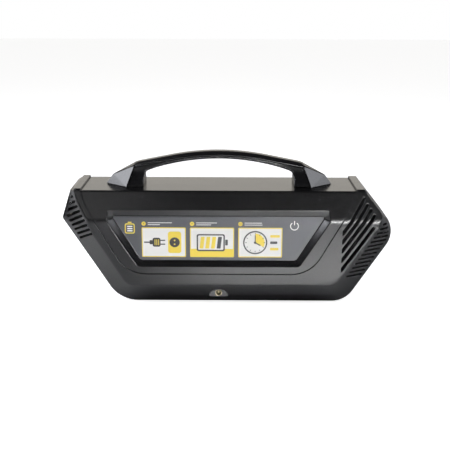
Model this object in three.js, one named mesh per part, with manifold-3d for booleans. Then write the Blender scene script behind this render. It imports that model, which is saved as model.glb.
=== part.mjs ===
// A portable power pack: a long six-sided moulded case with bevelled ends, an arched carry handle,
// vents at both ends, a sunk instruction plate and one round charging socket.
// Millimetres, +Z up. X runs along the case from the handle's middle plane, Y from front to back.
import * as THREE from "three";
import { mergeVertices } from "three/addons/utils/BufferGeometryUtils.js";
import Module from "manifold-3d";

const wasm = await Module();
wasm.setup();

// ---------------------------------------------------------------- driving dimensions
const FIT = 0.3; // clearance between neighbouring pieces
const WALL = 2.5; // moulded wall of the case
const ARC_STEPS = 6; // facets in a rounded corner
const INNER_STEPS = 3; // and in one that only the inside shows
const CREASE_STEPS = 4; // facets along the front's crease
const MESH_TOLERANCE = 0.001;
const LEAST_RADIUS = 0.4;
const CORNER_SHARE = 0.48;
const FAR = 260; // beyond the case in every direction

// Side view of the case
const HALF_DEPTH = 50; // middle plane to the crease that runs along the front
const TOP_HALF_DEPTH = 40.5; // middle plane to the front edge of the top
const CREASE_HEIGHT = 107.3;
const CREASE_RADIUS = 14;
const FACE_FOOT_HEIGHT = 27; // where the front face ends and the bottom bevel starts
const FACE_FOOT_DEPTH = 47;
const BAND_HALF_DEPTH = 28; // the straight band round the ends and the bottom
const COVER_TOP = 142.9; // top of the centre cover
const EAR_STEP = 2.2; // the end housings stand this much above it
const COVER_SETBACK = 0.7; // and the cover lies this much behind their face
const EAR_TOP = COVER_TOP + EAR_STEP;
const TOP_EDGE_RADIUS = 2;

// Front view of the case: corner x, corner z, radius, against the sun from the upper right
const BAND_CORNERS = [
  [174.2, EAR_TOP, 1.5],
  [-177.6, EAR_TOP, 8],
  [-190.1, 106, 6],
  [-122.7, 0, 41],
  [157.1, 0, 30],
  [217.3, 91.8, 31],
];
// The outline of the front face, where the bevels begin, carried on to the plane of the crease
const FACE_CORNERS = [
  [174.2, EAR_TOP, 1.5],
  [-168.6, EAR_TOP, 1],
  [-151.2, 94.3, 10],
  [-108.6, 31.3, 9],
  [137.9, 31.3, 11],
  [197.6, 112.1, 19],
];

// The centre cover, which is the same to the left and the right
const COVER_HALF = [
  [164.8, EAR_TOP + 2, 1],
  [161, 131, 12],
  [111, 41.2, 40],
];
const LIP_OUT = 2.9; // the housings' lip under the cover: how far it starts outside the seam
const LIP_IN = 4; // and how far it reaches inside
const LIP_WALL = 2;

// The sunk panel
const RECESS_RIM_HALF = [
  [136.7, 127.1, 2],
  [134.5, 108, 6],
  [100.6, 46.8, 8],
];
const RECESS_FLOOR_HALF = [
  [127, 112.5, 1.5],
  [126, 109, 3],
  [94, 57, 6],
];
const PLATE_FACE_DEPTH = 43; // middle plane to the front of the instruction plate
const PLATE_THICKNESS = 0.6;
const REAR_SEAM_HEIGHT = COVER_TOP - 6.4; // the cover wraps over the back down to here

// Handle
// An arch is a curve of one radius up to a distance from the middle, and runs straight beyond it
const TOP_ARCH = { crown: COVER_TOP + 42, radius: 300, straightFrom: 58 };
const UNDERSIDE_ARCH = { crown: COVER_TOP + 33, radius: 265, straightFrom: 90 };
const GRIP_HALF_DEPTH = 12;
// Half the section of the upper moulding: distance from the middle, fall from the crown
const TOP_SHELL_SECTION = [
  [0, 0],
  [4.5, 0.3],
  [8.5, 1.1],
  [11.2, 2.2],
  [GRIP_HALF_DEPTH, 3.3],
  [GRIP_HALF_DEPTH, 4.8],
];
const TOP_SHELL_SIDE = TOP_SHELL_SECTION.at(-1)[1];
const ARCH_END = 102.5; // where the arch turns into the wings
const SHOULDER = [130, COVER_TOP + 12.1];
const WING_TIP = 138.5;
const WING_FOOT = 111.7;
const WING_FOOT_HALF_DEPTH = 23.5;
const FOOT_INNER = 91; // hand side of each foot
const FOOT_CORNER_RADIUS = 9;
const WING_GAP = 0.36; // level gap between a foot and its leaning wing
const WING_KNEE_FALL = 2.2; // the wing's inner edge falls this much from the ridge to the side
// Half the end view of the lower moulding: distance from the middle, height above the cover
const FOOT_SECTION = [
  [21, 0],
  [19.5, 4],
  [13, 16],
  [11, 26],
  [11, 45],
];

// Vents
const LONG_SLOT_END = 34; // middle plane to the back of the long slots' cut
const BEVEL_SLOT_END = 22; // and of the slots in the bevels
const LONG_SLOTS = [
  // foot x and z, knee x and z, tip x and z of each long slot on the right of the front
  [148.1, 93.0, 157.7, 107, 174.2, 136],
  [148.3, 82.2, 165.2, 107, 177.8, 128.7],
  [148.6, 71.2, 172.9, 107, 182.3, 122.6],
  [149.2, 60.2, 180.9, 107, 186.2, 116.2],
  [149.7, 48.6, 184.3, 99.2, 184.8, 100],
];
const LONG_SLOT_WIDTH = 3.4;
const LONG_SLOT_CUT = 148.4; // they all end on this upright line
const LONG_SLOT_OVERRUN = 0.3; // share of the lower run that is trimmed off there
const RIGHT_SLOT_COUNT = 13;
const RIGHT_SLOT_TOP = 103.4;
const RIGHT_SLOT_PITCH = 5.53;
const RIGHT_SLOT_WIDTH = 2.4;
const RIGHT_SLOT_START = [196.2, -3.38]; // inner end of the first, and the step to the next
const RIGHT_SLOT_LENGTH = 20.8;
const LEFT_SLOT_WIDTH = 2.7;
const LEFT_SLOT_COUNT = 9;
const LEFT_SLOT_INNER = [-174, 135.2, 2.9, -5.4]; // inner end of the first, and the step
const LEFT_SLOT_DROP = 9.8; // fall from the inner to the outer end
const LEFT_SLOT_REACH = 17.8;
const SLOT_EDGE_MARGIN = 4.2; // material left beyond the outer ends of the bevels' slots

// Screen behind the long slots: a flat plate glued in along the housing's inner side
const SCREEN_BACK = -38;
const SCREEN_THICKNESS = 1.5;
const SCREEN_LEFT = 146.4;
const SCREEN_HEIGHTS = [44, 138];

// Charging socket in the bottom bevel
const NICHE_RADIUS = 10.5;
const NICHE_WALL = 1.2;
const NICHE_HEIGHT = 8.2; // flat lower side of the half-round niche
const NICHE_BACK = -33.7;
const NICHE_BACK_WALL = 2;
const SOCKET_HEIGHT = 13.4;
const BARREL_RADIUS = 4.2;
const BARREL_BORE = 3.2;
const BARREL_FRONT = -35.8;
const BARREL_BACK = -20;
const SOCKET_NUT_WIDTH = 2 * BARREL_RADIUS + 2.6;
const SOCKET_NUT_THICKNESS = 2.5;
const PIN_RADIUS = 1.05;

// Cells: round cells lie front to back in a square grid
const CELL_RADIUS = 9.1;
const CELL_LENGTH = 65;
const CELL_SPACING = 1.8;
const CELL_PITCH = 2 * CELL_RADIUS + CELL_SPACING;
const CELL_COLUMNS = 10;
const CELL_ROWS = 4;
const CELL_FIRST = [-101, 36];
const CELL_SIDES = 8;
const HOLDER_THICKNESS = 5.5;
const HOLDER_MARGIN = 10; // from the axis of an outer cell to the block's end
const blockLeft = CELL_FIRST[0] - HOLDER_MARGIN;
const blockRight = CELL_FIRST[0] + (CELL_COLUMNS - 1) * CELL_PITCH + HOLDER_MARGIN;
const CELL_HOLE_GAP = 0.4;
const STRIP_THICKNESS = 0.3;
const STRIP_WIDTH = 8;

// Ribs under the cells
const RIB_PLACES = [blockLeft + 7, -62, -26, 26, blockRight - 27, blockRight - 7];
const RIB_THICKNESS = 2;
const LEAD_CHANNEL_DEPTH = 18; // the leads pass under the cells in this notch of the ribs
const LEAD_CHANNEL_HEIGHT = 12;
const CELL_BLOCK_BOTTOM = CELL_FIRST[1] - CELL_PITCH / 2;
const FLOOR_PAD_THICKNESS = 4;
const RIB_TOP = CELL_BLOCK_BOTTOM - FLOOR_PAD_THICKNESS - 2 * FIT;

// Foam pads round the cell block
const PAD_MARGIN = 6;
const FRONT_PAD_HEIGHTS = [62, 100];
const REAR_PAD_HEIGHTS = [52, 94];
const FLOOR_PAD_HALF_DEPTH = 30;

// Protection board at the right end of the cell block
const BOARD_THICKNESS = 1.6;
const BOARD_HALF_DEPTH = 29;
const BOARD_LOW = 30;
const BOARD_HIGH = 100;
const BOARD_SCREW_INSET = 5;
const BOARD_STANDOFF = 8;
const SPACER_RADIUS = 3.3;
const BRACKET_THICKNESS = 2;
const SINK_HEIGHTS = [52, 92];
const SINK_HALF_DEPTH = 20;
const SINK_BASE = 3;
const FIN_COUNT = 7;
const FIN_REACH = 14;
const FIN_THICKNESS = 1.8;
const FUSE_BASE = [12, 36, 46, 3]; // half depth, foot, top, thickness
const FUSE_BODY = [9.5, 37.5, 44.5, 9];

// Leads
const LEAD_RADIUS = 1.6;
const LEAD_SIDES = 8;
const LEAD_SEGMENT = 8; // length of one facet along a lead

// Screws and bosses
const BOSS_RADIUS = 4;
const SHANK_RADIUS = 1.5;
const SCREW_HEAD_RADIUS = 2.8;
const SCREW_HEAD_HEIGHT = 2.2;
const HEAD_DEPTH = 12; // middle plane to the seat of a screw's head
const SCREW_REACH = 14; // how far its shank goes past the middle plane
const HOLE_REACH = SCREW_REACH + 2;
const BOSS_SIDES = 8;
const CASE_SCREWS = [
  [-150, 68],
  [-90, 15],
  [-38, 15],
  [40, 15],
  [112, 15],
  [142, 84],
];
const COVER_SCREWS = [
  [-138, 128],
  [-50, 128],
  [50, 128],
  [138, 128],
];
const HANDLE_SCREW_X = 100;
const HANDLE_SCREW_Y = 11;
const HANDLE_SCREW_LENGTH = 16;
const handleScrewPlaces = [-1, 1].flatMap((side) => [
  [side * HANDLE_SCREW_X, -HANDLE_SCREW_Y],
  [side * HANDLE_SCREW_X, HANDLE_SCREW_Y],
]);

// ---------------------------------------------------------------- geometry helpers
const mirrored = (half) => [...half, ...half.map(([x, z, r]) => [-x, z, r]).reverse()];

// Turns a geometry into a solid; only its positions count.
function solid(geometry) {
  const bare = geometry.index ? geometry.toNonIndexed() : geometry.clone();
  bare.deleteAttribute("normal");
  bare.deleteAttribute("uv");
  const merged = mergeVertices(bare, MESH_TOLERANCE / 10);
  return new wasm.Manifold(
    new wasm.Mesh({
      numProp: 3,
      vertProperties: merged.attributes.position.array,
      triVerts: new Uint32Array(merged.index.array),
    }),
  );
}

function geometryOf(made) {
  const mesh = made.asOriginal().simplify(MESH_TOLERANCE).getMesh();
  const geometry = new THREE.BufferGeometry();
  geometry.setAttribute("position", new THREE.BufferAttribute(mesh.vertProperties, 3));
  geometry.setIndex(new THREE.BufferAttribute(mesh.triVerts, 1));
  geometry.computeVertexNormals();
  return geometry;
}

const union = (solids) => solids.reduce((sum, next) => sum.add(next));

// Signed area tells which way round a list of corners runs.
function turning(corners) {
  return Math.sign(
    corners.reduce((sum, [x, z], i) => {
      const [nextX, nextZ] = corners[(i + 1) % corners.length];
      return sum + x * nextZ - nextX * z;
    }, 0),
  );
}

// Moves each side of a polygon inwards by inset (outwards when negative) and finds the corners again.
function insetCorners(corners, inset) {
  const side = turning(corners);
  const count = corners.length;
  return corners.map(([x, z, radius], i) => {
    const before = corners[(i + count - 1) % count];
    const after = corners[(i + 1) % count];
    const into = new THREE.Vector2(x - before[0], z - before[1]).normalize();
    const out = new THREE.Vector2(after[0] - x, after[1] - z).normalize();
    const normalIn = new THREE.Vector2(-into.y, into.x).multiplyScalar(side);
    const normalOut = new THREE.Vector2(-out.y, out.x).multiplyScalar(side);
    const along = normalIn.clone().add(normalOut);
    along.multiplyScalar(inset / (1 + normalIn.dot(normalOut)));
    const convex = into.cross(out) * side > 0;
    return [x + along.x, z + along.y, Math.max(radius + (convex ? -inset : inset), LEAST_RADIUS)];
  });
}

// The points of a polygon with its corners rounded, the same number for each corner.
// A corner takes less than half of each side it lies on.
function roundedOutline(corners, steps = ARC_STEPS) {
  const count = corners.length;
  return corners.flatMap(([x, z, radius], i) => {
    const corner = new THREE.Vector2(x, z);
    const before = new THREE.Vector2(...corners[(i + count - 1) % count]).sub(corner);
    const after = new THREE.Vector2(...corners[(i + 1) % count]).sub(corner);
    const half = Math.acos(before.clone().normalize().dot(after.clone().normalize())) / 2;
    const room = CORNER_SHARE * Math.min(before.length(), after.length());
    const reach = Math.min(radius / Math.tan(half), room);
    const start = before.clone().normalize().multiplyScalar(reach);
    const end = after.clone().normalize().multiplyScalar(reach);
    const centre = start.clone().add(end).multiplyScalar(1 / (2 * Math.cos(half) ** 2));
    const arm = start.clone().sub(centre);
    const turn = Math.sign(arm.cross(end.clone().sub(centre))) * (Math.PI - 2 * half);
    return Array.from({ length: steps + 1 }, (_, k) =>
      arm
        .clone()
        .rotateAround(new THREE.Vector2(), (turn * k) / steps)
        .add(centre)
        .add(corner),
    );
  });
}

// An outline in the front view, carried from one depth to another.
function prismAlongY(points, from, to) {
  const geometry = new THREE.ExtrudeGeometry(new THREE.Shape(points), {
    depth: to - from,
    bevelEnabled: false,
  });
  geometry.rotateX(Math.PI / 2);
  geometry.translate(0, to, 0);
  return solid(geometry);
}

// An outline in the side view, carried along the case.
function prismAlongX(points, from, to) {
  const geometry = new THREE.ExtrudeGeometry(new THREE.Shape(points), {
    depth: to - from,
    bevelEnabled: false,
  });
  const turn = new THREE.Matrix4().makeBasis(
    new THREE.Vector3(0, 1, 0),
    new THREE.Vector3(0, 0, 1),
    new THREE.Vector3(1, 0, 0),
  );
  geometry.applyMatrix4(turn);
  geometry.translate(from, 0, 0);
  return solid(geometry);
}

// A solid through convex outlines of equal point counts at rising depths, closed by a fan at each end.
function loftAlongY(sections) {
  const rings = sections.map(({ y, points }) => points.map((p) => new THREE.Vector3(p.x, y, p.y)));
  const count = rings[0].length;
  const position = rings.flat().flatMap((p) => [p.x, p.y, p.z]);
  const index = [];
  for (let ring = 0; ring + 1 < rings.length; ring++)
    for (let i = 0; i < count; i++) {
      const a = ring * count + i;
      const b = ring * count + ((i + 1) % count);
      index.push(a, b, b + count, a, b + count, a + count);
    }
  const last = (rings.length - 1) * count;
  const hubs = [rings[0], rings.at(-1)].map((ring) =>
    ring.reduce((sum, p) => sum.add(p), new THREE.Vector3()).divideScalar(count),
  );
  hubs.forEach((hub) => position.push(hub.x, hub.y, hub.z));
  for (let i = 0; i < count; i++) {
    const next = (i + 1) % count;
    index.push(next, i, rings.length * count);
    index.push(last + i, last + next, rings.length * count + 1);
  }
  if (turning(sections[0].points.map((p) => [p.x, p.y])) > 0) index.reverse();
  return solidOfFaces(position, index);
}

function solidOfFaces(position, index) {
  const geometry = new THREE.BufferGeometry();
  geometry.setAttribute("position", new THREE.Float32BufferAttribute(position, 3));
  geometry.setIndex(index);
  return solid(geometry);
}

function box(x0, x1, y0, y1, z0, z1) {
  const geometry = new THREE.BoxGeometry(x1 - x0, y1 - y0, z1 - z0);
  geometry.translate((x0 + x1) / 2, (y0 + y1) / 2, (z0 + z1) / 2);
  return solid(geometry);
}

// A cylinder with its axis along Y.
function rodAlongY(x, z, radius, from, to, sides = 16) {
  const geometry = new THREE.CylinderGeometry(radius, radius, to - from, sides);
  geometry.translate(x, (from + to) / 2, z);
  return solid(geometry);
}

function rodAlongZ(x, y, radius, from, to, sides = 12) {
  const geometry = new THREE.CylinderGeometry(radius, radius, to - from, sides);
  geometry.rotateX(Math.PI / 2);
  geometry.translate(x, y, (from + to) / 2);
  return solid(geometry);
}

// A round-ended stroke of the given width along a path in the front view.
function strokeAlongY(path, width, from, to) {
  const rings = path.map((place) =>
    circlePoints(place, width / 2).flatMap(([x, z]) => [
      [x, from, z],
      [x, to, z],
    ]),
  );
  return union(rings.slice(1).map((ring, i) => wasm.Manifold.hull([...rings[i], ...ring])));
}

const STROKE_SIDES = 6;
function circlePoints([x, z], radius) {
  return Array.from({ length: STROKE_SIDES }, (_, i) => {
    const angle = (2 * Math.PI * (i + 0.5)) / STROKE_SIDES;
    return [x + radius * Math.cos(angle), z + radius * Math.sin(angle)];
  });
}

// ---------------------------------------------------------------- the case's form
// The side view between the two faces; setback draws the faces in and top sets its height.
function sideView(setback, top) {
  const slope = (HALF_DEPTH - FACE_FOOT_DEPTH) / (CREASE_HEIGHT - FACE_FOOT_HEIGHT);
  const below = -20;
  const half = [
    [TOP_HALF_DEPTH, EAR_TOP, TOP_EDGE_RADIUS],
    [HALF_DEPTH, CREASE_HEIGHT, CREASE_RADIUS],
    [HALF_DEPTH - slope * (CREASE_HEIGHT - below), below, 1],
  ];
  const drawn = insetCorners(mirrored(half), setback);
  const [topCorner, creaseCorner] = drawn;
  // the top corner slides along the leaning face to the wanted height
  const lean = (topCorner[0] - creaseCorner[0]) / (topCorner[1] - creaseCorner[1]);
  const topY = creaseCorner[0] + lean * (top - creaseCorner[1]);
  const last = drawn.length - 1;
  drawn[0] = [topY, top, TOP_EDGE_RADIUS];
  drawn[last] = [-topY, top, TOP_EDGE_RADIUS];
  return roundedOutline(drawn, setback < WALL ? CREASE_STEPS : 1);
}

// The whole case drawn in by inset, with its bevels, between its two faces.
function caseForm(inset, setback = inset, top = EAR_TOP - inset) {
  const steps = inset < WALL ? ARC_STEPS : INNER_STEPS;
  const band = roundedOutline(insetCorners(BAND_CORNERS, inset), steps);
  const face = roundedOutline(insetCorners(FACE_CORNERS, inset * Math.tan(Math.PI / 8)), steps);
  const bandDepth = BAND_HALF_DEPTH - inset * Math.tan(Math.PI / 8);
  const faceDepth = HALF_DEPTH - inset;
  const bevelled = loftAlongY([
    { y: -faceDepth, points: face },
    { y: -bandDepth, points: band },
    { y: bandDepth, points: band },
    { y: faceDepth, points: face },
  ]);
  return bevelled.intersect(prismAlongX(sideView(setback, top), -FAR, FAR));
}

const coverCorners = mirrored(COVER_HALF);
// A prism of the cover's outline, drawn in by inset.
const coverPrism = (inset) =>
  prismAlongY(
    roundedOutline(insetCorners(coverCorners, inset), Math.abs(inset) > 1 ? INNER_STEPS : ARC_STEPS),
    -FAR,
    FAR,
  );

// ---------------------------------------------------------------- end housings, front and rear
const outerForm = caseForm(0);

function housingBody() {
  const shell = outerForm.subtract(caseForm(WALL)).subtract(coverPrism(-FIT));
  const lipFace = COVER_SETBACK + WALL + FIT;
  const lipTop = COVER_TOP - WALL - FIT;
  const lipBack = caseForm(lipFace + LIP_WALL, lipFace + LIP_WALL, lipTop - LIP_WALL);
  const lip = caseForm(lipFace, lipFace, lipTop)
    .subtract(lipBack)
    .intersect(coverPrism(-LIP_OUT).subtract(coverPrism(LIP_IN)));
  const web = outerForm.subtract(lipBack).intersect(coverPrism(-LIP_OUT).subtract(coverPrism(-FIT)));
  return shell.add(lip).add(web);
}

// Cuts of the long slots, which bend at the crease and stop on an upright line.
function longSlotCuts() {
  const strokes = LONG_SLOTS.map(([footX, footZ, kneeX, kneeZ, tipX, tipZ]) =>
    strokeAlongY(
      [
        [footX - (kneeX - footX) * LONG_SLOT_OVERRUN, footZ - (kneeZ - footZ) * LONG_SLOT_OVERRUN],
        [kneeX, kneeZ],
        [tipX, tipZ],
      ],
      LONG_SLOT_WIDTH,
      -FAR,
      -LONG_SLOT_END,
    ),
  );
  return union(strokes).intersect(box(LONG_SLOT_CUT, FAR, -FAR, FAR, 0, FAR));
}

// The slots in the bevels stop short of the case's outer edge.
const insideEdge = prismAlongY(roundedOutline(insetCorners(BAND_CORNERS, SLOT_EDGE_MARGIN)), -FAR, FAR);

// Level slots in the right-hand bevel, front or rear.
function rightSlotCuts(from, to) {
  return union(
    Array.from({ length: RIGHT_SLOT_COUNT }, (_, i) => {
      const z = RIGHT_SLOT_TOP - i * RIGHT_SLOT_PITCH;
      const start = RIGHT_SLOT_START[0] + i * RIGHT_SLOT_START[1];
      const end = start + RIGHT_SLOT_LENGTH;
      return box(start, end, from, to, z - RIGHT_SLOT_WIDTH / 2, z + RIGHT_SLOT_WIDTH / 2);
    }),
  ).intersect(insideEdge);
}

// Slots in the left-hand bevel, square to its lower edge.
function leftSlotCuts(from, to) {
  const [x0, z0, stepX, stepZ] = LEFT_SLOT_INNER;
  const strokes = Array.from({ length: LEFT_SLOT_COUNT }, (_, i) => {
    const x = x0 + i * stepX;
    const z = z0 + i * stepZ;
    return strokeAlongY(
      [
        [x, z],
        [x - LEFT_SLOT_REACH, z - LEFT_SLOT_DROP],
      ],
      LEFT_SLOT_WIDTH,
      from,
      to,
    );
  });
  return union(strokes).intersect(insideEdge);
}

const bossRod = ([x, z], from, to, radius = BOSS_RADIUS) => rodAlongY(x, z, radius, from, to, BOSS_SIDES);

// Floor ribs that carry the cells, left open round the socket and for the leads.
function floorRibs() {
  const depth = FACE_FOOT_DEPTH;
  const ribs = RIB_PLACES.map((x) => box(x, x + RIB_THICKNESS, -depth, depth, WALL / 2, RIB_TOP));
  const leadRoom = box(0, FAR, -LEAD_CHANNEL_DEPTH, 0, 0, LEAD_CHANNEL_HEIGHT);
  return union(ribs).intersect(caseForm(WALL / 2)).subtract(leadRoom);
}

const NICHE_OUTER = NICHE_RADIUS + NICHE_WALL;
const nicheHole = (radius, from, to, floor) =>
  rodAlongY(0, NICHE_HEIGHT, radius, from, to, 32).intersect(box(-FAR, FAR, -FAR, FAR, floor, FAR));

function makeFrontHousing(body) {
  const bosses = union(CASE_SCREWS.map((place) => bossRod(place, -FAR, -FIT / 2)));
  const holes = union(CASE_SCREWS.map((place) => bossRod(place, -HOLE_REACH, FAR, SHANK_RADIUS + FIT)));
  return body
    .add(bosses.intersect(caseForm(WALL / 2)))
    .intersect(box(-FAR, FAR, -FAR, -FIT / 2, -FAR, FAR))
    .subtract(holes)
    .subtract(longSlotCuts())
    .subtract(rightSlotCuts(-FAR, -BEVEL_SLOT_END))
    .subtract(leftSlotCuts(-FAR, -BEVEL_SLOT_END))
    .subtract(nicheHole(NICHE_OUTER + FIT, -FAR, -BAND_HALF_DEPTH, NICHE_HEIGHT - NICHE_WALL));
}

function makeRearHousing(body) {
  const bosses = union(CASE_SCREWS.map((place) => bossRod(place, FIT / 2, FAR)));
  const holes = union(
    CASE_SCREWS.flatMap((place) => [
      bossRod(place, -FAR, FAR, SHANK_RADIUS + FIT),
      bossRod(place, HEAD_DEPTH, FAR, SCREW_HEAD_RADIUS + FIT),
    ]),
  );
  return body
    .add(bosses.intersect(outerForm))
    .intersect(box(-FAR, FAR, FIT / 2, FAR, -FAR, FAR))
    .subtract(holes)
    .subtract(rightSlotCuts(BEVEL_SLOT_END, FAR))
    .subtract(leftSlotCuts(BEVEL_SLOT_END, FAR));
}

const housing = housingBody().add(floorRibs());

const makeVentScreen = () =>
  box(SCREEN_LEFT, FAR, SCREEN_BACK - SCREEN_THICKNESS, SCREEN_BACK, ...SCREEN_HEIGHTS)
    .intersect(caseForm(WALL + FIT))
    .subtract(coverPrism(-LIP_OUT - FIT));

// ---------------------------------------------------------------- centre cover and rear panel
const coverOuter = coverPrism(0).intersect(prismAlongX(sideView(COVER_SETBACK, COVER_TOP), -FAR, FAR));
const coverInner = prismAlongX(sideView(COVER_SETBACK + WALL, COVER_TOP - WALL), -FAR, FAR);

const recessLoft = (grow, rimDepth, floorDepth) => {
  const steps = grow > 1 ? INNER_STEPS : ARC_STEPS;
  return loftAlongY([
    { y: -rimDepth, points: roundedOutline(insetCorners(mirrored(RECESS_RIM_HALF), -grow), steps) },
    { y: -floorDepth, points: roundedOutline(insetCorners(mirrored(RECESS_FLOOR_HALF), -grow), steps) },
  ]);
};

const RECESS_FLOOR_DEPTH = PLATE_FACE_DEPTH - PLATE_THICKNESS - FIT;
const PAN_WALL = 2.2;

function makeCentreCover() {
  const shell = coverOuter.subtract(coverInner);
  const pan = recessLoft(PAN_WALL, HALF_DEPTH, RECESS_FLOOR_DEPTH - PAN_WALL).intersect(coverOuter);
  const bosses = union(COVER_SCREWS.map((place) => bossRod(place, -FAR, -FIT / 2))).intersect(coverOuter);
  const screwHoles = union(COVER_SCREWS.map((place) => bossRod(place, -HOLE_REACH, FAR, SHANK_RADIUS + FIT)));
  const handleHoles = union(
    handleScrewPlaces.map(([x, y]) => rodAlongZ(x, y, SHANK_RADIUS + FIT, REAR_SEAM_HEIGHT, EAR_TOP)),
  );
  const front = box(-FAR, FAR, -FAR, 0, -FAR, FAR);
  const frontAndTop = front.add(box(-FAR, FAR, -FIT, FAR, REAR_SEAM_HEIGHT, FAR));
  return shell
    .intersect(frontAndTop)
    .add(pan)
    .add(bosses)
    .subtract(recessLoft(0, HALF_DEPTH, RECESS_FLOOR_DEPTH))
    .subtract(screwHoles)
    .subtract(handleHoles);
}

function makeRearPanel() {
  const bosses = union(COVER_SCREWS.map((place) => bossRod(place, FIT / 2, FAR))).intersect(coverOuter);
  const holes = union(
    COVER_SCREWS.flatMap((place) => [
      bossRod(place, -FAR, FAR, SHANK_RADIUS + FIT),
      bossRod(place, HEAD_DEPTH, FAR, SCREW_HEAD_RADIUS + FIT),
    ]),
  );
  return coverOuter
    .subtract(coverInner)
    .intersect(box(-FAR, FAR, BAND_HALF_DEPTH, FAR, -FAR, REAR_SEAM_HEIGHT - FIT))
    .add(bosses)
    .subtract(holes);
}

function makeInstructionPlate() {
  const outline = roundedOutline(insetCorners(mirrored(RECESS_FLOOR_HALF), FIT + 0.2));
  return prismAlongY(outline, -PLATE_FACE_DEPTH, -PLATE_FACE_DEPTH + PLATE_THICKNESS);
}

// ---------------------------------------------------------------- handle

const HANDLE_BASE = COVER_TOP + FIT;
const ARCH_STEPS = 20; // facets along the handle
function archHeight(x, { crown, radius, straightFrom }) {
  const bend = Math.min(Math.abs(x), straightFrom);
  const fromCentre = Math.sqrt(radius * radius - bend * bend);
  return crown - radius + fromCentre - ((Math.abs(x) - bend) * bend) / fromCentre;
}

const archLine = (from, to, arch, drop = 0) =>
  Array.from({ length: ARCH_STEPS + 1 }, (_, i) => {
    const x = from + ((to - from) * i) / ARCH_STEPS;
    return new THREE.Vector2(x, archHeight(x, arch) - drop);
  });
const ARCH_END_HEIGHT = archHeight(ARCH_END, TOP_ARCH);

// The wing of the upper moulding: a prow whose four faces meet at the shoulder and the tip.
function wingHull(side) {
  const points = [
    [side * WING_TIP, 0, HANDLE_BASE],
    [side * SHOULDER[0], 0, SHOULDER[1]],
    ...[-1, 1].flatMap((face) => [
      [side * WING_FOOT, face * WING_FOOT_HALF_DEPTH, HANDLE_BASE],
      [side * ARCH_END, face * GRIP_HALF_DEPTH, ARCH_END_HEIGHT - WING_KNEE_FALL],
    ]),
    [side * (ARCH_END - 1), 0, ARCH_END_HEIGHT],
  ];
  return wasm.Manifold.hull(points);
}

function makeHandleTop() {
  const half = TOP_SHELL_SECTION.map(([y, fall]) => [y, -fall]);
  const section = [...half.map(([y, z]) => [-y, z]).reverse(), ...half.slice(1)];
  return union([sweepAlongArch(section, ARCH_END, TOP_ARCH), wingHull(-1), wingHull(1)]);
}

// Carries a convex section of depths and heights along an arch, from -reach to reach.
function sweepAlongArch(section, reach, arch) {
  const count = section.length;
  const line = archLine(-reach, reach, arch);
  const position = line.flatMap((p) => section.flatMap(([y, z]) => [p.x, y, p.y + z]));
  const index = [];
  for (let ring = 0; ring + 1 < line.length; ring++)
    for (let i = 0; i < count; i++) {
      const a = ring * count + i;
      const b = ring * count + ((i + 1) % count);
      index.push(a, b + count, b, a, a + count, b + count);
    }
  const last = (line.length - 1) * count;
  for (let i = 1; i + 1 < count; i++) index.push(0, i, i + 1, last, last + i + 1, last + i);
  return solidOfFaces(position, index);
}

// The lower moulding: the hand side of the grip and the two feet it runs into.
function makeHandleGrip() {
  const topDrop = TOP_SHELL_SIDE + FIT;
  const cornerX = FOOT_INNER - FOOT_CORNER_RADIUS;
  const outline = [
    new THREE.Vector2(-WING_FOOT, HANDLE_BASE),
    ...archLine(-ARCH_END, ARCH_END, TOP_ARCH, topDrop),
    new THREE.Vector2(WING_FOOT, HANDLE_BASE),
    ...handSideLine(cornerX),
  ];
  const right = FOOT_SECTION.map(([y, height]) => new THREE.Vector2(y, HANDLE_BASE + height));
  const left = right.map((p) => new THREE.Vector2(-p.x, p.y)).reverse();
  const body = prismAlongY(outline, -BAND_HALF_DEPTH, BAND_HALF_DEPTH).intersect(
    prismAlongX([...right, ...left], -FAR, FAR),
  );
  const wingRoom = union([-1, 1].map((side) => wingRoomHull(side)));
  const holeTop = HANDLE_BASE + HANDLE_SCREW_LENGTH - 4;
  const screwHoles = union(
    handleScrewPlaces.map(([x, y]) => rodAlongZ(x, y, SHANK_RADIUS + FIT, HANDLE_BASE - 1, holeTop)),
  );
  return body.subtract(wingRoom).subtract(screwHoles);
}

// The underside of the grip with its two rounded inner corners, from right to left.
function handSideLine(cornerX) {
  const cornerTop = archHeight(cornerX, UNDERSIDE_ARCH);
  const quarter = (side) =>
    Array.from({ length: ARC_STEPS + 1 }, (_, i) => {
      const angle = (Math.PI / 2) * (i / ARC_STEPS);
      return new THREE.Vector2(
        side * (cornerX + FOOT_CORNER_RADIUS * Math.cos(angle)),
        cornerTop - FOOT_CORNER_RADIUS + FOOT_CORNER_RADIUS * Math.sin(angle),
      );
    });
  return [
    new THREE.Vector2(FOOT_INNER, HANDLE_BASE),
    ...quarter(1),
    ...archLine(cornerX, -cornerX, UNDERSIDE_ARCH).slice(1, -1),
    ...quarter(-1).reverse(),
    new THREE.Vector2(-FOOT_INNER, HANDLE_BASE),
  ];
}

// The room that a foot leaves for the wing beside it.
function wingRoomHull(side) {
  const lean = (WING_FOOT - ARCH_END) / (ARCH_END_HEIGHT - HANDLE_BASE);
  const slantAt = (z) => WING_FOOT - lean * (z - HANDLE_BASE) - WING_GAP;
  const outline = [HANDLE_BASE - 1, TOP_ARCH.crown].flatMap((z) => [
    [side * slantAt(z), z],
    [side * FAR, z],
  ]);
  return wasm.Manifold.hull(
    outline.flatMap(([x, z]) => [
      [x, -FAR, z],
      [x, FAR, z],
    ]),
  );
}

// ---------------------------------------------------------------- charging socket
function makeSocketBezel() {
  const cup = nicheHole(NICHE_OUTER, -FAR, NICHE_BACK + NICHE_BACK_WALL, NICHE_HEIGHT - NICHE_WALL + FIT)
    .intersect(outerForm)
    .subtract(nicheHole(NICHE_RADIUS, -FAR, NICHE_BACK, NICHE_HEIGHT));
  return cup.subtract(rodAlongY(0, SOCKET_HEIGHT, BARREL_RADIUS + FIT, -FAR, FAR, 20));
}

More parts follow.
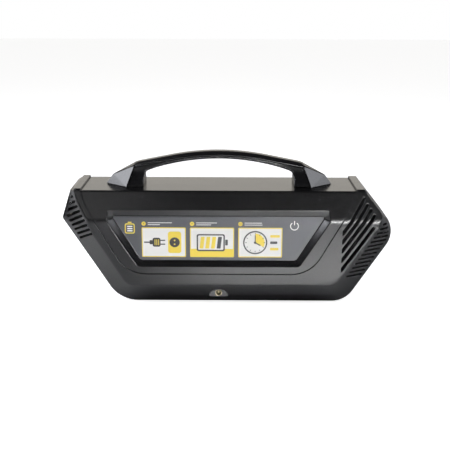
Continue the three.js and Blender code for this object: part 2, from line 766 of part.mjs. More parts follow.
const BORE_BACK = BARREL_BACK - 5;
function makeSocketBarrel() {
  return rodAlongY(0, SOCKET_HEIGHT, BARREL_RADIUS, BARREL_FRONT, BARREL_BACK, 20).subtract(
    rodAlongY(0, SOCKET_HEIGHT, BARREL_BORE, -FAR, FAR, 20),
  );
}

function makeSocketInsulator() {
  return rodAlongY(0, SOCKET_HEIGHT, BARREL_BORE - FIT, BORE_BACK, BARREL_BACK, 16).subtract(
    rodAlongY(0, SOCKET_HEIGHT, PIN_RADIUS + FIT, -FAR, FAR, 10),
  );
}

const makeSocketPin = () =>
  rodAlongY(0, SOCKET_HEIGHT, PIN_RADIUS, BARREL_FRONT + 2.2, BARREL_BACK + 3, 10);

function makeSocketNut() {
  const front = NICHE_BACK + NICHE_BACK_WALL + FIT;
  const cornerRadius = SOCKET_NUT_WIDTH / Math.sqrt(3);
  return rodAlongY(0, 0, cornerRadius, front, front + SOCKET_NUT_THICKNESS, 6)
    .rotate([0, 30, 0])
    .translate([0, 0, SOCKET_HEIGHT])
    .subtract(rodAlongY(0, SOCKET_HEIGHT, BARREL_RADIUS + FIT, -FAR, FAR, 20));
}

// ---------------------------------------------------------------- cells
const cellPlaces = Array.from({ length: CELL_COLUMNS * CELL_ROWS }, (_, i) => [
  CELL_FIRST[0] + (i % CELL_COLUMNS) * CELL_PITCH,
  CELL_FIRST[1] + Math.floor(i / CELL_COLUMNS) * CELL_PITCH,
]);
const CELL_END = CELL_LENGTH / 2;
const HOLDER_OUTER = CELL_END + 3;
const blockTop = CELL_FIRST[1] + (CELL_ROWS - 0.5) * CELL_PITCH;

const holderPlate = (from, to) => box(blockLeft, blockRight, from, to, CELL_BLOCK_BOTTOM, blockTop);

// The cells are welded to the tray's floor, so tray and cells are one solid.
function makeCellTray() {
  const cells = cellPlaces.map(([x, z]) =>
    rodAlongY(x, z, CELL_RADIUS, -HOLDER_OUTER + HOLDER_THICKNESS - 1, CELL_END, CELL_SIDES),
  );
  return union([holderPlate(-HOLDER_OUTER, -HOLDER_OUTER + HOLDER_THICKNESS), ...cells]);
}

function makeCellKeeper() {
  const holes = cellPlaces.map(([x, z]) =>
    rodAlongY(x, z, CELL_RADIUS + CELL_HOLE_GAP, -FAR, FAR, CELL_SIDES),
  );
  return holderPlate(HOLDER_OUTER - HOLDER_THICKNESS, HOLDER_OUTER).subtract(union(holes));
}

// Busbars join the columns in pairs, one column on between front and back.
function makeBusbar(firstColumn, columns, front) {
  const x0 = CELL_FIRST[0] + firstColumn * CELL_PITCH;
  const z0 = CELL_FIRST[1] - STRIP_WIDTH / 2;
  const z1 = CELL_FIRST[1] + (CELL_ROWS - 1) * CELL_PITCH + STRIP_WIDTH / 2;
  const near = HOLDER_OUTER + FIT;
  const [from, to] = front ? [-near - STRIP_THICKNESS, -near] : [near, near + STRIP_THICKNESS];
  const rails = Array.from({ length: columns }, (_, i) =>
    box(x0 + i * CELL_PITCH - STRIP_WIDTH / 2, x0 + i * CELL_PITCH + STRIP_WIDTH / 2, from, to, z0, z1),
  );
  const rungs = Array.from({ length: columns > 1 ? CELL_ROWS : 0 }, (_, row) => {
    const z = CELL_FIRST[1] + row * CELL_PITCH;
    return box(x0, x0 + (columns - 1) * CELL_PITCH, from, to, z - STRIP_WIDTH / 2, z + STRIP_WIDTH / 2);
  });
  return union([...rails, ...rungs]);
}

// ---------------------------------------------------------------- foam pads
const STRIP_OUTER = HOLDER_OUTER + FIT + STRIP_THICKNESS;
const PAN_BACK = RECESS_FLOOR_DEPTH - PAN_WALL;
const padLeft = blockLeft + PAD_MARGIN;
const padRight = blockRight - PAD_MARGIN;

const makeFrontPad = () => box(padLeft, padRight, -PAN_BACK + FIT, -STRIP_OUTER - FIT, ...FRONT_PAD_HEIGHTS);

function makeFloorPad() {
  const depth = FLOOR_PAD_HALF_DEPTH;
  return box(blockLeft + 2, blockRight - 2, -depth, depth, RIB_TOP + FIT, CELL_BLOCK_BOTTOM - FIT);
}

// The rear pad is a wedge, as the panel behind it leans.
function makeRearPad() {
  const slope = (HALF_DEPTH - FACE_FOOT_DEPTH) / (CREASE_HEIGHT - FACE_FOOT_HEIGHT);
  const panelBackAt = (z) => HALF_DEPTH - COVER_SETBACK - WALL - slope * (CREASE_HEIGHT - z) - 2 * FIT;
  const [low, high] = REAR_PAD_HEIGHTS;
  const outline = [
    [STRIP_OUTER + FIT, low],
    [panelBackAt(low), low],
    [panelBackAt(high), high],
    [STRIP_OUTER + FIT, high],
  ].map(([y, z]) => new THREE.Vector2(y, z));
  return prismAlongX(outline, padLeft, padRight);
}

// ---------------------------------------------------------------- protection board
const BOARD_X = blockRight + BOARD_STANDOFF;
const BOARD_FACE = BOARD_X + BOARD_THICKNESS + FIT;
const boardCorners = [-1, 1].flatMap((side) => [
  [side * (BOARD_HALF_DEPTH - BOARD_SCREW_INSET), BOARD_LOW + BOARD_SCREW_INSET],
  [side * (BOARD_HALF_DEPTH - BOARD_SCREW_INSET), BOARD_HIGH - BOARD_SCREW_INSET],
]);
const boardPlate = (from, thickness) =>
  box(from, from + thickness, -BOARD_HALF_DEPTH, BOARD_HALF_DEPTH, BOARD_LOW, BOARD_HIGH);
const boardHoles = () =>
  union(boardCorners.map(([y, z]) => rodAlongX(y, z, SHANK_RADIUS + FIT, blockRight, BOARD_FACE)));

function rodAlongX(y, z, radius, from, to, sides = 10) {
  const geometry = new THREE.CylinderGeometry(radius, radius, to - from, sides);
  geometry.rotateZ(Math.PI / 2);
  geometry.translate((from + to) / 2, y, z);
  return solid(geometry);
}

const makeBoard = () => boardPlate(BOARD_X, BOARD_THICKNESS).subtract(boardHoles());

function makeHeatSink() {
  const plate = box(BOARD_FACE, BOARD_FACE + SINK_BASE, -SINK_HALF_DEPTH, SINK_HALF_DEPTH, ...SINK_HEIGHTS);
  const travel = 2 * SINK_HALF_DEPTH - FIN_THICKNESS;
  const fins = Array.from({ length: FIN_COUNT }, (_, i) => {
    const y = -SINK_HALF_DEPTH + (i * travel) / (FIN_COUNT - 1);
    return box(BOARD_FACE, BOARD_FACE + FIN_REACH, y, y + FIN_THICKNESS, ...SINK_HEIGHTS);
  });
  return union([plate, ...fins]);
}

const makeFuse = () =>
  union(
    [FUSE_BASE, FUSE_BODY].map(([half, low, high, reach]) =>
      box(BOARD_FACE, BOARD_FACE + reach, -half, half, low, high),
    ),
  );

// A screw along X with its head on the board's far side.
function makeBoardScrew([y, z]) {
  const head = rodAlongX(y, z, SCREW_HEAD_RADIUS, BOARD_FACE, BOARD_FACE + SCREW_HEAD_HEIGHT, BOSS_SIDES);
  return head.add(rodAlongX(y, z, SHANK_RADIUS, blockRight + 1, BOARD_FACE + SCREW_HEAD_HEIGHT / 2, 6));
}

// The bracket is a plate on the cell block's end with a spacer at each corner of the board.
function makeBoardBracket() {
  const near = blockRight + FIT;
  const spacers = boardCorners.map(([y, z]) => rodAlongX(y, z, SPACER_RADIUS, near + 1, BOARD_X - FIT));
  return union([boardPlate(near, BRACKET_THICKNESS), ...spacers]).subtract(boardHoles());
}

// ---------------------------------------------------------------- leads
function makeLead(points) {
  const curve = new THREE.CatmullRomCurve3(
    points.map((p) => new THREE.Vector3(...p)),
    false,
    "centripetal",
  );
  const ring = new THREE.Shape(
    Array.from({ length: LEAD_SIDES }, (_, i) => {
      const angle = (2 * Math.PI * i) / LEAD_SIDES;
      return new THREE.Vector2(LEAD_RADIUS * Math.cos(angle), LEAD_RADIUS * Math.sin(angle));
    }),
  );
  const steps = Math.round(curve.getLength() / LEAD_SEGMENT);
  return solid(new THREE.ExtrudeGeometry(ring, { extrudePath: curve, steps, bevelEnabled: false }));
}

const LEAD_START_X = BOARD_FACE + LEAD_RADIUS;
const makePositiveLead = () =>
  makeLead([
    [LEAD_START_X, -16, 34],
    [LEAD_START_X, -16, 26],
    [LEAD_START_X - 3, -15.5, 19],
    [LEAD_START_X - 12.5, -14, 10],
    [LEAD_START_X - 28.5, -12, 7],
    [44, -10, 6.5],
    [20, -12, 7.5],
    [10, -14, 10],
    [6.2, -16.5, 13.4],
    [BARREL_RADIUS + 2.1, -22, 13.4],
  ]);
const makeNegativeLead = () =>
  makeLead([
    [LEAD_START_X, -10, 34],
    [LEAD_START_X, -10, 26],
    [LEAD_START_X - 4, -9.5, 20],
    [LEAD_START_X - 13.5, -6, 10],
    [LEAD_START_X - 30.5, -3, 6.5],
    [44, -2, 6],
    [16, -3, 6.5],
    [4, -6, 8],
    [0, -10, 12],
    [0, BARREL_BACK + 3.5, 13.4],
  ]);

// ---------------------------------------------------------------- screws
// A pan-head screw along Y: its head sits at HEAD_DEPTH, its shank reaches towards the front.
function makeBodyScrew([x, z]) {
  const seat = HEAD_DEPTH + FIT;
  return bossRod([x, z], seat, seat + SCREW_HEAD_HEIGHT, SCREW_HEAD_RADIUS).add(
    bossRod([x, z], -SCREW_REACH, seat + SCREW_HEAD_HEIGHT / 2, SHANK_RADIUS),
  );
}

// A screw up through the cover's top into a foot of the handle.
function makeHandleScrew([x, y]) {
  const seat = COVER_TOP - WALL - FIT;
  return rodAlongZ(x, y, SCREW_HEAD_RADIUS, seat - SCREW_HEAD_HEIGHT, seat).add(
    rodAlongZ(x, y, SHANK_RADIUS, seat - SCREW_HEAD_HEIGHT / 2, seat + HANDLE_SCREW_LENGTH - 2, 8),
  );
}

// ---------------------------------------------------------------- assembly
const CASE_BLACK = { color: 0x26262a, roughness: 0.42, metalness: 0 };
const HANDLE_BLACK = { color: 0x2a2a2e, roughness: 0.45, metalness: 0 };
const PRINT_GREY = { color: 0x57575c, roughness: 0.5, metalness: 0 };
const SCREW_STEEL = { color: 0x8f9296, roughness: 0.35, metalness: 1 };
const BRASS = { color: 0x8c8452, roughness: 0.3, metalness: 1 };
const SOCKET_BLACK = { color: 0x151517, roughness: 0.6, metalness: 0 };
const BEZEL_GREY = { color: 0x6f7073, roughness: 0.5, metalness: 0 };
const CELL_GREEN = { color: 0x3f7f78, roughness: 0.45, metalness: 0 };
const KEEPER_BLACK = { color: 0x1d1d1f, roughness: 0.6, metalness: 0 };
const NICKEL = { color: 0xb9b6ab, roughness: 0.3, metalness: 1 };
const BOARD_GREEN = { color: 0x1f5a36, roughness: 0.5, metalness: 0 };
const ALUMINIUM = { color: 0xa7abaf, roughness: 0.4, metalness: 1 };
const FUSE_ORANGE = { color: 0xc06a1c, roughness: 0.5, metalness: 0 };
const LEAD_RED = { color: 0xa31c1c, roughness: 0.5, metalness: 0 };
const LEAD_BLACK = { color: 0x18181a, roughness: 0.5, metalness: 0 };
const FOAM_GREY = { color: 0x4a4a4d, roughness: 0.95, metalness: 0 };

const pack = new THREE.Group();
function addPiece(name, made, finish) {
  const mesh = new THREE.Mesh(geometryOf(made), new THREE.MeshStandardMaterial(finish));
  mesh.name = name;
  pack.add(mesh);
}

addPiece("front_housing", makeFrontHousing(housing), CASE_BLACK);
addPiece("rear_housing", makeRearHousing(housing), CASE_BLACK);
addPiece("vent_screen", makeVentScreen(), KEEPER_BLACK);
addPiece("centre_cover", makeCentreCover(), CASE_BLACK);
addPiece("rear_panel", makeRearPanel(), CASE_BLACK);
addPiece("instruction_plate", makeInstructionPlate(), PRINT_GREY);
addPiece("handle_top_shell", makeHandleTop(), HANDLE_BLACK);
addPiece("handle_grip", makeHandleGrip(), HANDLE_BLACK);
addPiece("socket_bezel", makeSocketBezel(), BEZEL_GREY);
addPiece("socket_barrel", makeSocketBarrel(), BRASS);
addPiece("socket_insulator", makeSocketInsulator(), SOCKET_BLACK);
addPiece("socket_pin", makeSocketPin(), BRASS);
addPiece("socket_nut", makeSocketNut(), SCREW_STEEL);
addPiece("cell_tray", makeCellTray(), CELL_GREEN);
addPiece("cell_keeper", makeCellKeeper(), KEEPER_BLACK);
for (let i = 0; i < CELL_COLUMNS / 2; i++)
  addPiece(`busbar_front_${i + 1}`, makeBusbar(2 * i, 2, true), NICKEL);
addPiece("busbar_rear_1", makeBusbar(0, 1, false), NICKEL);
for (let i = 1; i < CELL_COLUMNS / 2; i++)
  addPiece(`busbar_rear_${i + 1}`, makeBusbar(2 * i - 1, 2, false), NICKEL);
addPiece(`busbar_rear_${CELL_COLUMNS / 2 + 1}`, makeBusbar(CELL_COLUMNS - 1, 1, false), NICKEL);
addPiece("front_pad", makeFrontPad(), FOAM_GREY);
addPiece("floor_pad", makeFloorPad(), FOAM_GREY);
addPiece("rear_pad", makeRearPad(), FOAM_GREY);
addPiece("board_bracket", makeBoardBracket(), KEEPER_BLACK);
addPiece("protection_board", makeBoard(), BOARD_GREEN);
addPiece("heat_sink", makeHeatSink(), ALUMINIUM);
addPiece("fuse", makeFuse(), FUSE_ORANGE);
boardCorners.forEach((place, i) => addPiece(`board_screw_${i + 1}`, makeBoardScrew(place), SCREW_STEEL));
addPiece("positive_lead", makePositiveLead(), LEAD_RED);
addPiece("negative_lead", makeNegativeLead(), LEAD_BLACK);
CASE_SCREWS.forEach((place, i) => addPiece(`case_screw_${i + 1}`, makeBodyScrew(place), SCREW_STEEL));
COVER_SCREWS.forEach((place, i) => addPiece(`cover_screw_${i + 1}`, makeBodyScrew(place), SCREW_STEEL));
handleScrewPlaces.forEach((place, i) =>
  addPiece(`handle_screw_${i + 1}`, makeHandleScrew(place), SCREW_STEEL),
);

// The origin is under the middle of the case: X is measured from the handle's plane until here.
const extent = new THREE.Box3().setFromObject(pack);
pack.position.x = -(extent.min.x + extent.max.x) / 2;

export default pack;
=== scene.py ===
import math
from itertools import chain

import bmesh
import bpy
import numpy as np
from mathutils import Matrix, Vector
from mathutils.geometry import delaunay_2d_cdt


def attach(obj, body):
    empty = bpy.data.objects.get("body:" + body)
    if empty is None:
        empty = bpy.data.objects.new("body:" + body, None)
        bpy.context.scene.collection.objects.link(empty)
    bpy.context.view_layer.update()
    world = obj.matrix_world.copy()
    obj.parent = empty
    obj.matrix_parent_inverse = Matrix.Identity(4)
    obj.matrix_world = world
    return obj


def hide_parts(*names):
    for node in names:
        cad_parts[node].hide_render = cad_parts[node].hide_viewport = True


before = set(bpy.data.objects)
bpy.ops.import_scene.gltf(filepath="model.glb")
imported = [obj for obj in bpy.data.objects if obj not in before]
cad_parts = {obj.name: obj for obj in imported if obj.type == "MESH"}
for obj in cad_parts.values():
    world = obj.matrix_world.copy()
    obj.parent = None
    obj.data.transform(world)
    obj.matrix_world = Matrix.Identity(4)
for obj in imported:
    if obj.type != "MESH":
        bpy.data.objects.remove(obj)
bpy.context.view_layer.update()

# ---------------------------------------------------------------- camera
# A medium-long lens a metre from the case looks fifteen degrees down on it, square to its front.
# The aim is the point of the front that lies in the picture's centre.
CAMERA_AIM = Vector((-0.0024, -0.045, 0.1023))
CAMERA_DISTANCE = 1.0278
CAMERA_DOWN = math.radians(15.22)
CAMERA_YAW = math.radians(-0.25)
CAMERA_ROLL = math.radians(0.18)
SENSOR_WIDTH = 36.0
LENS_LENGTH = 68.8

ahead = Vector(
    (
        math.sin(CAMERA_YAW) * math.cos(CAMERA_DOWN),
        math.cos(CAMERA_YAW) * math.cos(CAMERA_DOWN),
        -math.sin(CAMERA_DOWN),
    )
)
level = Vector((math.cos(CAMERA_YAW), -math.sin(CAMERA_YAW), 0))
upright = level.cross(ahead)
right = math.cos(CAMERA_ROLL) * level + math.sin(CAMERA_ROLL) * upright
up = math.cos(CAMERA_ROLL) * upright - math.sin(CAMERA_ROLL) * level
lens = bpy.data.cameras.new("camera")
lens.lens = LENS_LENGTH
lens.sensor_width = SENSOR_WIDTH
lens.sensor_fit = "HORIZONTAL"
lens.clip_end = 50
camera = bpy.data.objects.new("camera", lens)
bpy.context.scene.collection.objects.link(camera)
camera.matrix_world = Matrix.Translation(CAMERA_AIM - ahead * CAMERA_DISTANCE) @ Matrix(
    (right, up, -ahead)
).transposed().to_4x4()
bpy.context.scene.camera = camera

# ---------------------------------------------------------------- studio
# A white table in a dim room whose far wall glows, as a shop photograph of a black moulding is lit. Soft
# lamps stand at both sides and low in front, and small ones light the table, which the case mirrors.
TABLE_WIDTH = 12.0
SKY_WHITE = 1.0  # what the camera sees behind the case
SKY_BACK = (1.12, 1.07, 0.98)
SKY_DARK = 0.05
PAPER_WHITE, PAPER_ROUGHNESS, PAPER_SPECULAR = 0.9, 0.9, 0.2
PAPER_GLOW = 0.85  # lifts the table to the white of the background
GLOW_START, GLOW_FULL = 0.25, 0.7  # of a direction's part to the back less its part upwards


def add_node(tree, kind, sockets=None, **settings):
    """Adds a shader node. A socket takes a constant, or a link where the value is another node's output."""
    made = tree.nodes.new(kind)
    for name, value in settings.items():
        setattr(made, name, value)
    for name, value in (sockets or {}).items():
        if isinstance(value, bpy.types.NodeSocket):
            tree.links.new(value, made.inputs[name])
        else:
            made.inputs[name].default_value = value
    return made


def grey(value):
    """An even grey as a colour socket takes it."""
    return (value, value, value, 1)


sky = bpy.data.worlds.new("studio_sky")
sky.use_nodes = True
sky_tree = sky.node_tree
sky_tree.nodes.clear()
direction = add_node(
    sky_tree,
    "ShaderNodeSeparateXYZ",
    {"Vector": add_node(sky_tree, "ShaderNodeTexCoord").outputs["Generated"]},
)
# the sky glows low at the back only, which leaves the handle's crown dark and the top light
low_at_back = add_node(
    sky_tree, "ShaderNodeMath", {0: direction.outputs["Y"], 1: direction.outputs["Z"]}, operation="SUBTRACT"
)
towards_back = add_node(
    sky_tree,
    "ShaderNodeMapRange",
    {"Value": low_at_back.outputs["Value"], "From Min": GLOW_START, "From Max": GLOW_FULL},
    interpolation_type="SMOOTHSTEP",
)
sky_colour = add_node(
    sky_tree,
    "ShaderNodeMix",
    {"Factor": towards_back.outputs["Result"], "A": grey(SKY_DARK), "B": (*SKY_BACK, 1)},
    data_type="RGBA",
)
lit_sky = add_node(sky_tree, "ShaderNodeBackground", {"Color": sky_colour.outputs["Result"], "Strength": 1})
plain_sky = add_node(sky_tree, "ShaderNodeBackground", {"Color": grey(SKY_WHITE), "Strength": 1})
seen_sky = add_node(
    sky_tree,
    "ShaderNodeMixShader",
    {
        "Fac": add_node(sky_tree, "ShaderNodeLightPath").outputs["Is Camera Ray"],
        1: lit_sky.outputs["Background"],
        2: plain_sky.outputs["Background"],
    },
)
add_node(sky_tree, "ShaderNodeOutputWorld", {"Surface": seen_sky.outputs["Shader"]})
bpy.context.scene.world = sky
bpy.context.scene.view_settings.view_transform = "Standard"


def soft_lamp(name, place, aim, width, height, strength, spread=180, tint=(1, 1, 1)):
    """A flat lamp of the given size and watts at a place, turned to shine at its aim. The camera never
    sees it; spread is the angle of its beam in degrees."""
    lamp = bpy.data.lights.new(name, "AREA")
    lamp.shape = "RECTANGLE"
    lamp.size = width
    lamp.size_y = height
    lamp.energy = strength
    lamp.spread = math.radians(spread)
    lamp.color = tint
    stand = bpy.data.objects.new(name, lamp)
    stand.location = place
    stand.rotation_euler = (Vector(aim) - Vector(place)).to_track_quat("-Z", "Y").to_euler()
    stand.visible_camera = False
    bpy.context.scene.collection.objects.link(stand)


COOL = (0.92, 0.94, 1.0)
soft_lamp("lamp_left", (-1.3, -0.16, 0.92), (0, 0, 0.1), 0.8, 0.7, 17, tint=COOL)
soft_lamp("lamp_right", (1.3, -0.16, 0.92), (0, 0, 0.1), 0.8, 0.7, 9.5, tint=COOL)
# a low thin lamp whose reflection lies along the crease
soft_lamp("lamp_right_low", (0.5, -1.6, 0.04), (0.14, 0, 0.1), 0.6, 0.05, 11)
soft_lamp("lamp_left_front", (-0.5, -1.7, 0.5), (-0.1, 0, 0.1), 0.4, 0.3, 0.5)
# these whiten the table before the case and at its left, which the case mirrors
soft_lamp("lamp_table_front", (0.2, -0.5, 0.8), (0.15, -0.29, 0), 0.25, 0.08, 0.42, 22)
soft_lamp("lamp_table_near", (0.12, -0.38, 0.8), (0.12, -0.165, 0), 0.34, 0.06, 0.74, 15)
soft_lamp("lamp_table_far", (0, -0.6, 0.8), (0, -0.44, 0), 0.4, 0.06, 0.8, 15)
soft_lamp("lamp_table_left", (-0.5, -0.1, 0.8), (-0.36, -0.06, 0), 0.2, 0.2, 0.6, 50)

table_mesh = bpy.data.meshes.new("table")
half_table = TABLE_WIDTH / 2
table_corners = [(x * half_table, y * half_table, 0) for x, y in ((-1, -1), (1, -1), (1, 1), (-1, 1))]
table_mesh.from_pydata(table_corners, [], [(0, 1, 2, 3)])
table = bpy.data.objects.new("table", table_mesh)
bpy.context.scene.collection.objects.link(table)
white_paper = bpy.data.materials.new("white_paper")
white_paper.use_nodes = True
paper_shader = white_paper.node_tree.nodes["Principled BSDF"]
paper_shader.inputs["Base Color"].default_value = grey(PAPER_WHITE)
paper_shader.inputs["Roughness"].default_value = PAPER_ROUGHNESS
paper_shader.inputs["Specular IOR Level"].default_value = PAPER_SPECULAR
paper_shader.inputs["Emission Color"].default_value = grey(1)
seen_directly = add_node(white_paper.node_tree, "ShaderNodeLightPath").outputs["Is Camera Ray"]
paper_glow = add_node(
    white_paper.node_tree, "ShaderNodeMath", {0: seen_directly, 1: PAPER_GLOW}, operation="MULTIPLY"
)
white_paper.node_tree.links.new(paper_glow.outputs["Value"], paper_shader.inputs["Emission Strength"])
table.data.materials.append(white_paper)

# ---------------------------------------------------------------- front housing
# The front half of the ring round the ends and the bottom: a black ABS moulding, 2.5 mm thick, with
# bevels on the ends and the bottom. Vents are cut through it at both ends, and it is screwed to the
# rear half along the middle plane. Millimetres; x is measured from the handle's middle.
MM = 0.001
HANDLE_TO_ORIGIN = 10.2  # the handle's middle plane lies this far to the right of the case's middle
WALL = 2.5
GAP = 0.3  # between neighbouring pieces
BAND_DEPTH = 28.0  # the straight band round the ends reaches this far from the middle plane
PARTING = 0.15  # half the gap between the front and the rear half
EDGE_TRIM = 0.12  # keeps the rounded skin inside the drawn outline
# the side view: height and depth of its top, its crease and its foot
EAR_TOP, EAR_DEPTH = 145.1, 40.5
CREASE_HEIGHT, FACE_DEPTH = 107.3, 50.0
FACE_FOOT, FACE_FOOT_DEPTH = 27.0, 47.0
CREASE_SOFTNESS = 1.45
CREASE_MIDDLE, CREASE_HALF = 107.4, 6.0  # of the rounding: middle, and half its height with some margin
# corners of the outer outline from the left ear round to the right ear: x, z, radius
BAND_CORNERS = np.array(
    [
        [-177.6, EAR_TOP, 8],
        [-190.1, 106, 6],
        [-122.7, 0, 41],
        [157.1, 0, 30],
        [217.3, 91.8, 31],
        [174.2, EAR_TOP, 1.5],
    ]
)
# and of the front face, where the bevels begin
FACE_CORNERS = np.array(
    [
        [-168.6, EAR_TOP, 1],
        [-151.2, 94.3, 10],
        [-108.6, 31.3, 9],
        [137.9, 31.3, 11],
        [197.6, 112.1, 19],
        [173.9, EAR_TOP, 1],
    ]
)
# right half of the seam round the centre cover, upwards from its foot, and the tip above the ears
SEAM_HALF = np.array([[111, 41.2, 40], [161, 131, 12]])
SEAM_TIP = np.array([164.8, 147.1, 1])
SEAM_LEAN = (SEAM_TIP[0] - SEAM_HALF[1, 0]) / (SEAM_TIP[1] - SEAM_HALF[1, 1])
EDGE_ROUND = 1.6  # rounding where the bevels meet the band
SEAM_ROUND = 0.55
BEVEL_SOFTNESS = 1.1  # rounding between bevel and face, as a depth
BEVEL_REACH = 1.4  # the bevel is carried on this far, in shares of its own width
LIP_DEPTH = 6.0  # the seam's wall goes this deep
SKIN_PITCH = 3.0  # spacing of the mesh on a plain surface
ROUND_STEPS, LINE_STEPS = 10, 8  # steps of an outline's roundings, and of the lines that skins are ruled on


def inset(corners, distance):
    """Corners of a polygon that runs against the sun, each side moved inwards by its distance.

    A corner moves by the one shift whose part along each neighbouring side's normal is that side's
    distance. The radius of a convex corner shrinks by the mean of the two, that of a hollow one grows."""
    place = corners[:, :2]
    out = np.roll(place, -1, 0) - place
    out /= np.linalg.norm(out, axis=1, keepdims=True)
    into = np.roll(out, 1, 0)
    normal_out = np.stack([-out[:, 1], out[:, 0]], 1)
    normal_in = np.stack([-into[:, 1], into[:, 0]], 1)
    after = np.broadcast_to(np.asarray(distance, float), len(corners))[:, None]
    before = np.roll(after, 1, 0)
    cosine = (normal_in * normal_out).sum(1, keepdims=True)
    shift = (normal_in + normal_out) * (before + after) / (2 * (1 + cosine))
    shift += (normal_in - normal_out) * (before - after) / (2 * (1 - cosine) + 1e-9)
    turn = np.sign(into[:, :1] * out[:, 1:] - into[:, 1:] * out[:, :1])
    radius = np.maximum(corners[:, 2:] - turn * (before + after) / 2, 0.2)
    return np.hstack([place + shift, radius])


SIDE_SHARE = 0.48  # most of a side that one corner's rounding may take


def rounded(corners, steps, side=1):
    """Outline of a polygon with rounded corners; leading axes of the array are separate polygons.

    Each corner's arc is the rational quadratic curve between its tangent points, weighted by the sine of
    half the corner's angle, which makes it a true arc. Each side gets side - 1 more points."""
    place = corners[..., :2]
    before = np.roll(place, 1, -2) - place
    after = np.roll(place, -1, -2) - place
    length_before = np.linalg.norm(before, axis=-1, keepdims=True) + 1e-9
    length_after = np.linalg.norm(after, axis=-1, keepdims=True) + 1e-9
    before, after = before / length_before, after / length_after
    cosine = np.clip((before * after).sum(-1, keepdims=True), -1, 1)
    half_tangent = np.sqrt((1 - cosine) / (1 + cosine + 1e-12))
    reach = np.minimum(corners[..., 2:] / half_tangent, SIDE_SHARE * np.minimum(length_before, length_after))
    weight = np.sqrt((1 - cosine) / 2)[..., None, :]
    t = np.linspace(0, 1, steps + 1)[:, None]
    start, end = (before * reach)[..., None, :], (after * reach)[..., None, :]
    arcs = place[..., None, :] + ((1 - t) ** 2 * start + t**2 * end) / (
        (1 - t) ** 2 + 2 * weight * t * (1 - t) + t**2
    )
    s = np.arange(1, side)[:, None] / side
    following = np.roll(arcs[..., 0, :], -1, -2)[..., None, :]
    sides = arcs[..., -1:, :] * (1 - s) + following * s
    both = np.concatenate([arcs, sides], -2)
    return both.reshape(*both.shape[:-3], -1, both.shape[-1])


def refined(loops, pitch):
    """The same closed loops with every long side split evenly, so that the first has none over pitch."""
    first = loops[0]
    gap = np.linalg.norm(np.roll(first, -1, 0) - first, axis=1)
    parts = np.maximum(np.ceil(gap / pitch).astype(int), 1)
    side = np.repeat(np.arange(len(first)), parts)
    along = (np.arange(parts.sum()) - np.repeat(np.cumsum(parts) - parts, parts)) / parts[side]
    along = along[:, None]
    return [loop[side] * (1 - along) + np.roll(loop, -1, 0)[side] * along for loop in loops]


def inside(points, loop):
    """True for each point from which a level ray crosses the closed loop an odd number of times."""
    a, b = loop, np.roll(loop, -1, 0)
    x, z = points[:, :1], points[:, 1:2]
    straddles = (a[:, 1] > z) != (b[:, 1] > z)
    rise = np.where(b[:, 1] == a[:, 1], 1, b[:, 1] - a[:, 1])
    crossing = a[:, 0] + (z - a[:, 1]) * (b[:, 0] - a[:, 0]) / rise
    return (straddles & (x < crossing)).sum(1) % 2 == 1


def soft_least(a, b, softness):
    """The smaller of two values, rounded where they meet: least - h^2 softness / 4, with
    h = 1 - |a - b| / softness where that is positive."""
    h = np.maximum(1 - np.abs(a - b) / softness, 0)
    return np.minimum(a, b) - h * h * softness / 4


FARTHEST_BEHIND, NO_LINE = -0.6, 9.0  # least share that counts, and the share of a point on no line


def ruled_share(low, high, points, closed):
    """How far each point lies on the way from outline low to outline high, along the ruled line through it.

    Lines join the outlines point by point. A point lies between the two neighbouring lines that see it
    on opposite sides; those are mixed by its distance from each, and the share is read on the mixture."""
    line = high - low
    dx = points[:, :1] - low[:, 0]
    dz = points[:, 1:2] - low[:, 1]
    side = line[:, 0] * dz - line[:, 1] * dx
    following = np.roll(side, -1, 1)
    between = (side <= 0) & (following > 0)
    mix = side / np.where(side == following, 1, side - following)
    foot_x = low[:, 0] + mix * (np.roll(low[:, 0], -1) - low[:, 0])
    foot_z = low[:, 1] + mix * (np.roll(low[:, 1], -1) - low[:, 1])
    line_x = line[:, 0] + mix * (np.roll(line[:, 0], -1) - line[:, 0])
    line_z = line[:, 1] + mix * (np.roll(line[:, 1], -1) - line[:, 1])
    share = (points[:, :1] - foot_x) * line_x + (points[:, 1:2] - foot_z) * line_z
    share /= line_x**2 + line_z**2 + 1e-12
    if not closed:
        between[:, -1] = False
    return np.where(between & (share > FARTHEST_BEHIND), share, NO_LINE).min(1)


UPPER_LEAN = (FACE_DEPTH - EAR_DEPTH) / (EAR_TOP - CREASE_HEIGHT)
LOWER_LEAN = (FACE_DEPTH - FACE_FOOT_DEPTH) / (CREASE_HEIGHT - FACE_FOOT)


def upper_depth(z, setback):
    """Depth of the side view's upper line, moved inwards square to itself by the setback."""
    return EAR_DEPTH + (EAR_TOP - z) * UPPER_LEAN - setback * math.hypot(1, UPPER_LEAN)


def face_depth(z, setback=0.0):
    """Depth of the side view at height z: two leaning lines that meet in the soft crease."""
    lower = FACE_DEPTH - (CREASE_HEIGHT - z) * LOWER_LEAN - setback * math.hypot(1, LOWER_LEAN)
    return soft_least(upper_depth(z, setback), lower, CREASE_SOFTNESS)


# these outlines are open over the ears, so the points that their closing side would get are left out
band_line = rounded(inset(BAND_CORNERS, EDGE_TRIM), LINE_STEPS, LINE_STEPS)[: 1 - LINE_STEPS]
face_line = rounded(FACE_CORNERS, LINE_STEPS, LINE_STEPS)[: 1 - LINE_STEPS]


def housing_depth(flat):
    """Depth of the housing's skin over a point of the front view: the lesser of the bevels, ruled from
    the band to the face's outline, and the side view."""
    share = np.clip(ruled_share(band_line, face_line, flat, False), 0, BEVEL_REACH)
    bevel = BAND_DEPTH + share * (FACE_DEPTH - BAND_DEPTH)
    return soft_least(bevel, face_depth(flat[:, 1]), BEVEL_SOFTNESS)


def front_surface(flat, below):
    """A point of the front housing's skin, or one that lies below it by the given depth."""
    return np.column_stack([flat[:, 0], below - housing_depth(flat), flat[:, 1]])


